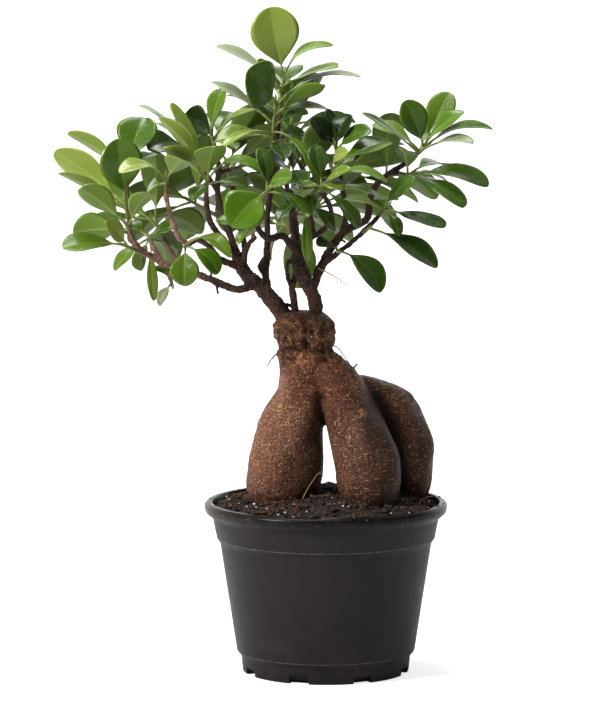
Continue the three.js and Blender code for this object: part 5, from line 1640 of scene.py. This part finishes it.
# Rings of a closed leaf from the petiole's foot to the blade's tip, upper face first
def leafRings(one, rng):
    b = blades
    petioleShare, radius = leafShape["petioleShare"], leafShape["petioleRadius"]
    bladeT = 0.5 - 0.5 * np.cos(np.linspace(0, math.pi, b["stations"]))
    shares = np.concatenate([b["petioleRings"], petioleShare + (1 - petioleShare) * bladeT[:-1]])
    across = np.array(b["across"], float)
    order = np.concatenate([across, across[-2:0:-1]])
    rounded = np.sqrt(np.clip(1 - across ** 2, 0, 1))
    halfThick = (b["edgeThick"] + (b["thick"] - b["edgeThick"]) * rounded) / 2 * rounded ** 0.5
    twist = math.radians(rng.uniform(-b["twist"], b["twist"]))
    phase, wave = rng.uniform(0, 6.28), rng.uniform(0.3, 1) * b["wave"]
    curl = rng.uniform(-1, 1) * b["curl"]
    bend = rng.uniform(-b["bend"], b["bend"])
    rings, uvs, parts = [], [], []
    for share in shares:
        t = max(0.0, (share - petioleShare) / (1 - petioleShare))
        leafy = min(1.0, t / b["leafyBy"])
        swell = leafy * math.sin(math.pi * t)
        half = fineHalfWidth(one, t) if t > 0 else radius * (1 - b["petioleTaper"] * share / petioleShare)
        half = max(half, b["narrowest"])
        a = across * half
        midrib = np.exp(-a ** 2)
        rise = one["bow"] * 4 * share * (1 - share)
        soft = np.sqrt(a ** 2 + b["creaseSoft"] ** 2) - b["creaseSoft"]
        edgeWave = wave * math.sin(b["waves"] * t + phase) * np.sign(across) * across ** 2
        droop = -curl * across ** 2 * t
        rise = rise + leafy * (soft * leafShape["foldSlope"] + edgeWave + droop)
        rise = rise + swell * math.sin(twist) * a * b["twistShare"]
        stalk = (1 - leafy) * radius * rounded
        upper = stalk + leafy * (halfThick - b["groove"] * midrib * (1 - t))
        lower = stalk + leafy * (halfThick + b["midribTall"] * midrib * (1 - b["midribFade"] * t))
        spine = one["base"] + one["aim"] * one["chord"] * share + np.outer(a + bend * swell, one["side"])
        top = spine + np.outer(rise + upper, one["lift"])
        low = spine + np.outer(rise - lower, one["lift"])
        rings.append(np.vstack([top, low[-2:0:-1]]))
        flat = np.full(len(order), share * one["chord"] / b["map"])
        uvs.append(np.stack([flat, 0.5 + order * half / b["map"]], axis=1))
        leafEdge = np.abs(order) ** 8 * leafy
        parts.append(np.stack([np.full(len(order), 1 - leafy), leafEdge, np.zeros(len(order))], axis=1))
    tip = one["base"] + one["aim"] * one["chord"]
    return np.array(rings), np.array(uvs), np.array(parts), tip


def shootPiece(shoot, leaves, material, rng):
    b = blades
    count = len(b["across"])
    ringSize = 2 * count - 2
    points, faces, uvs, tones, parts = [], [], [], [], []
    for index, one in leaves:
        rings, ringUvs, ringParts, tip = leafRings(one, rng)
        start = len(points)
        points += [*rings.reshape(-1, 3), tip]
        uvs += [*ringUvs.reshape(-1, 2), (one["chord"] / b["map"], 0.5)]
        parts += [*ringParts.reshape(-1, 3), (0, 1, 0)]
        shade = rng.uniform(*b["shade"])
        chosen = leafTones.get(shoot["name"])
        # a far leaf without a listed tone gets a dark one: painted shade
        tone = chosen[index] if chosen else rng.uniform(*b["farShadeTone"])
        # tone 2 is a painted silvery sheen, laid over the underside colour on both faces
        silvery = 1.0 if tone > 1 else 0.0
        tone = 0.5 if silvery else 0.5 + tone / 2
        under = [silvery] * count + [max(silvery, 0.5)] * (ringSize - count)
        tones += [(shade, tone, u) for u in under * len(rings) + [silvery]]
        # skinFaces runs the other way round, so each face is turned over
        skin = skinFaces(len(rings), ringSize, start)[:-1]
        faces += [tuple(reversed(face)) for face in skin]
        last = start + (len(rings) - 1) * ringSize
        faces += [(last + (i + 1) % ringSize, last + i, len(points) - 1) for i in range(ringSize)]
    foot, heart = spurEnd(shoot), np.array(shoot["heart"], float)
    axis = unit(heart - foot)
    climb = [foot + (heart - foot) * k / b["twigSteps"] for k in range(1, b["twigSteps"] + 1)]
    route = [foot - axis * b["twigSink"], *climb, *(heart + axis * k for k in b["budRises"])]
    sides = b["twigSides"]
    faces += skinFaces(len(route), sides, len(points))
    points += [*tubeRings(np.array(route), b["twigRadii"], sides).reshape(-1, 3)]
    for k in range(len(route)):
        woody = min(1.0, max(0.0, 1 - (k - b["woodyRings"]) / b["woodyRings"]))
        uvs += [(k / len(route), 0.5)] * sides
        tones += [(0.5, 0.7, 0)] * sides
        parts += [(1, 0, woody)] * sides
    piece = meshPiece("leaves_" + shoot["name"], points, faces, material)
    mesh = piece.data
    layer = mesh.uv_layers.new(name="leafMap")
    corner = np.zeros(len(mesh.loops), int)
    mesh.loops.foreach_get("vertex_index", corner)
    layer.data.foreach_set("uv", np.array(uvs)[corner].ravel())
    pointColours(mesh, "leafTone", tones)
    pointColours(mesh, "leafParts", parts)
    settle(piece, "leaf", "shoot_" + shoot["name"])


def makeLeaves():
    found = placeLeaves()
    material = leafMaterial()
    rng = np.random.default_rng(blades["seed"])
    for shoot in allShoots:
        shootPiece(shoot, found[shoot["name"]], material, rng)
    print("leaves", sum(len(v) for v in found.values()))


makeLimbs()
makeLeaves()
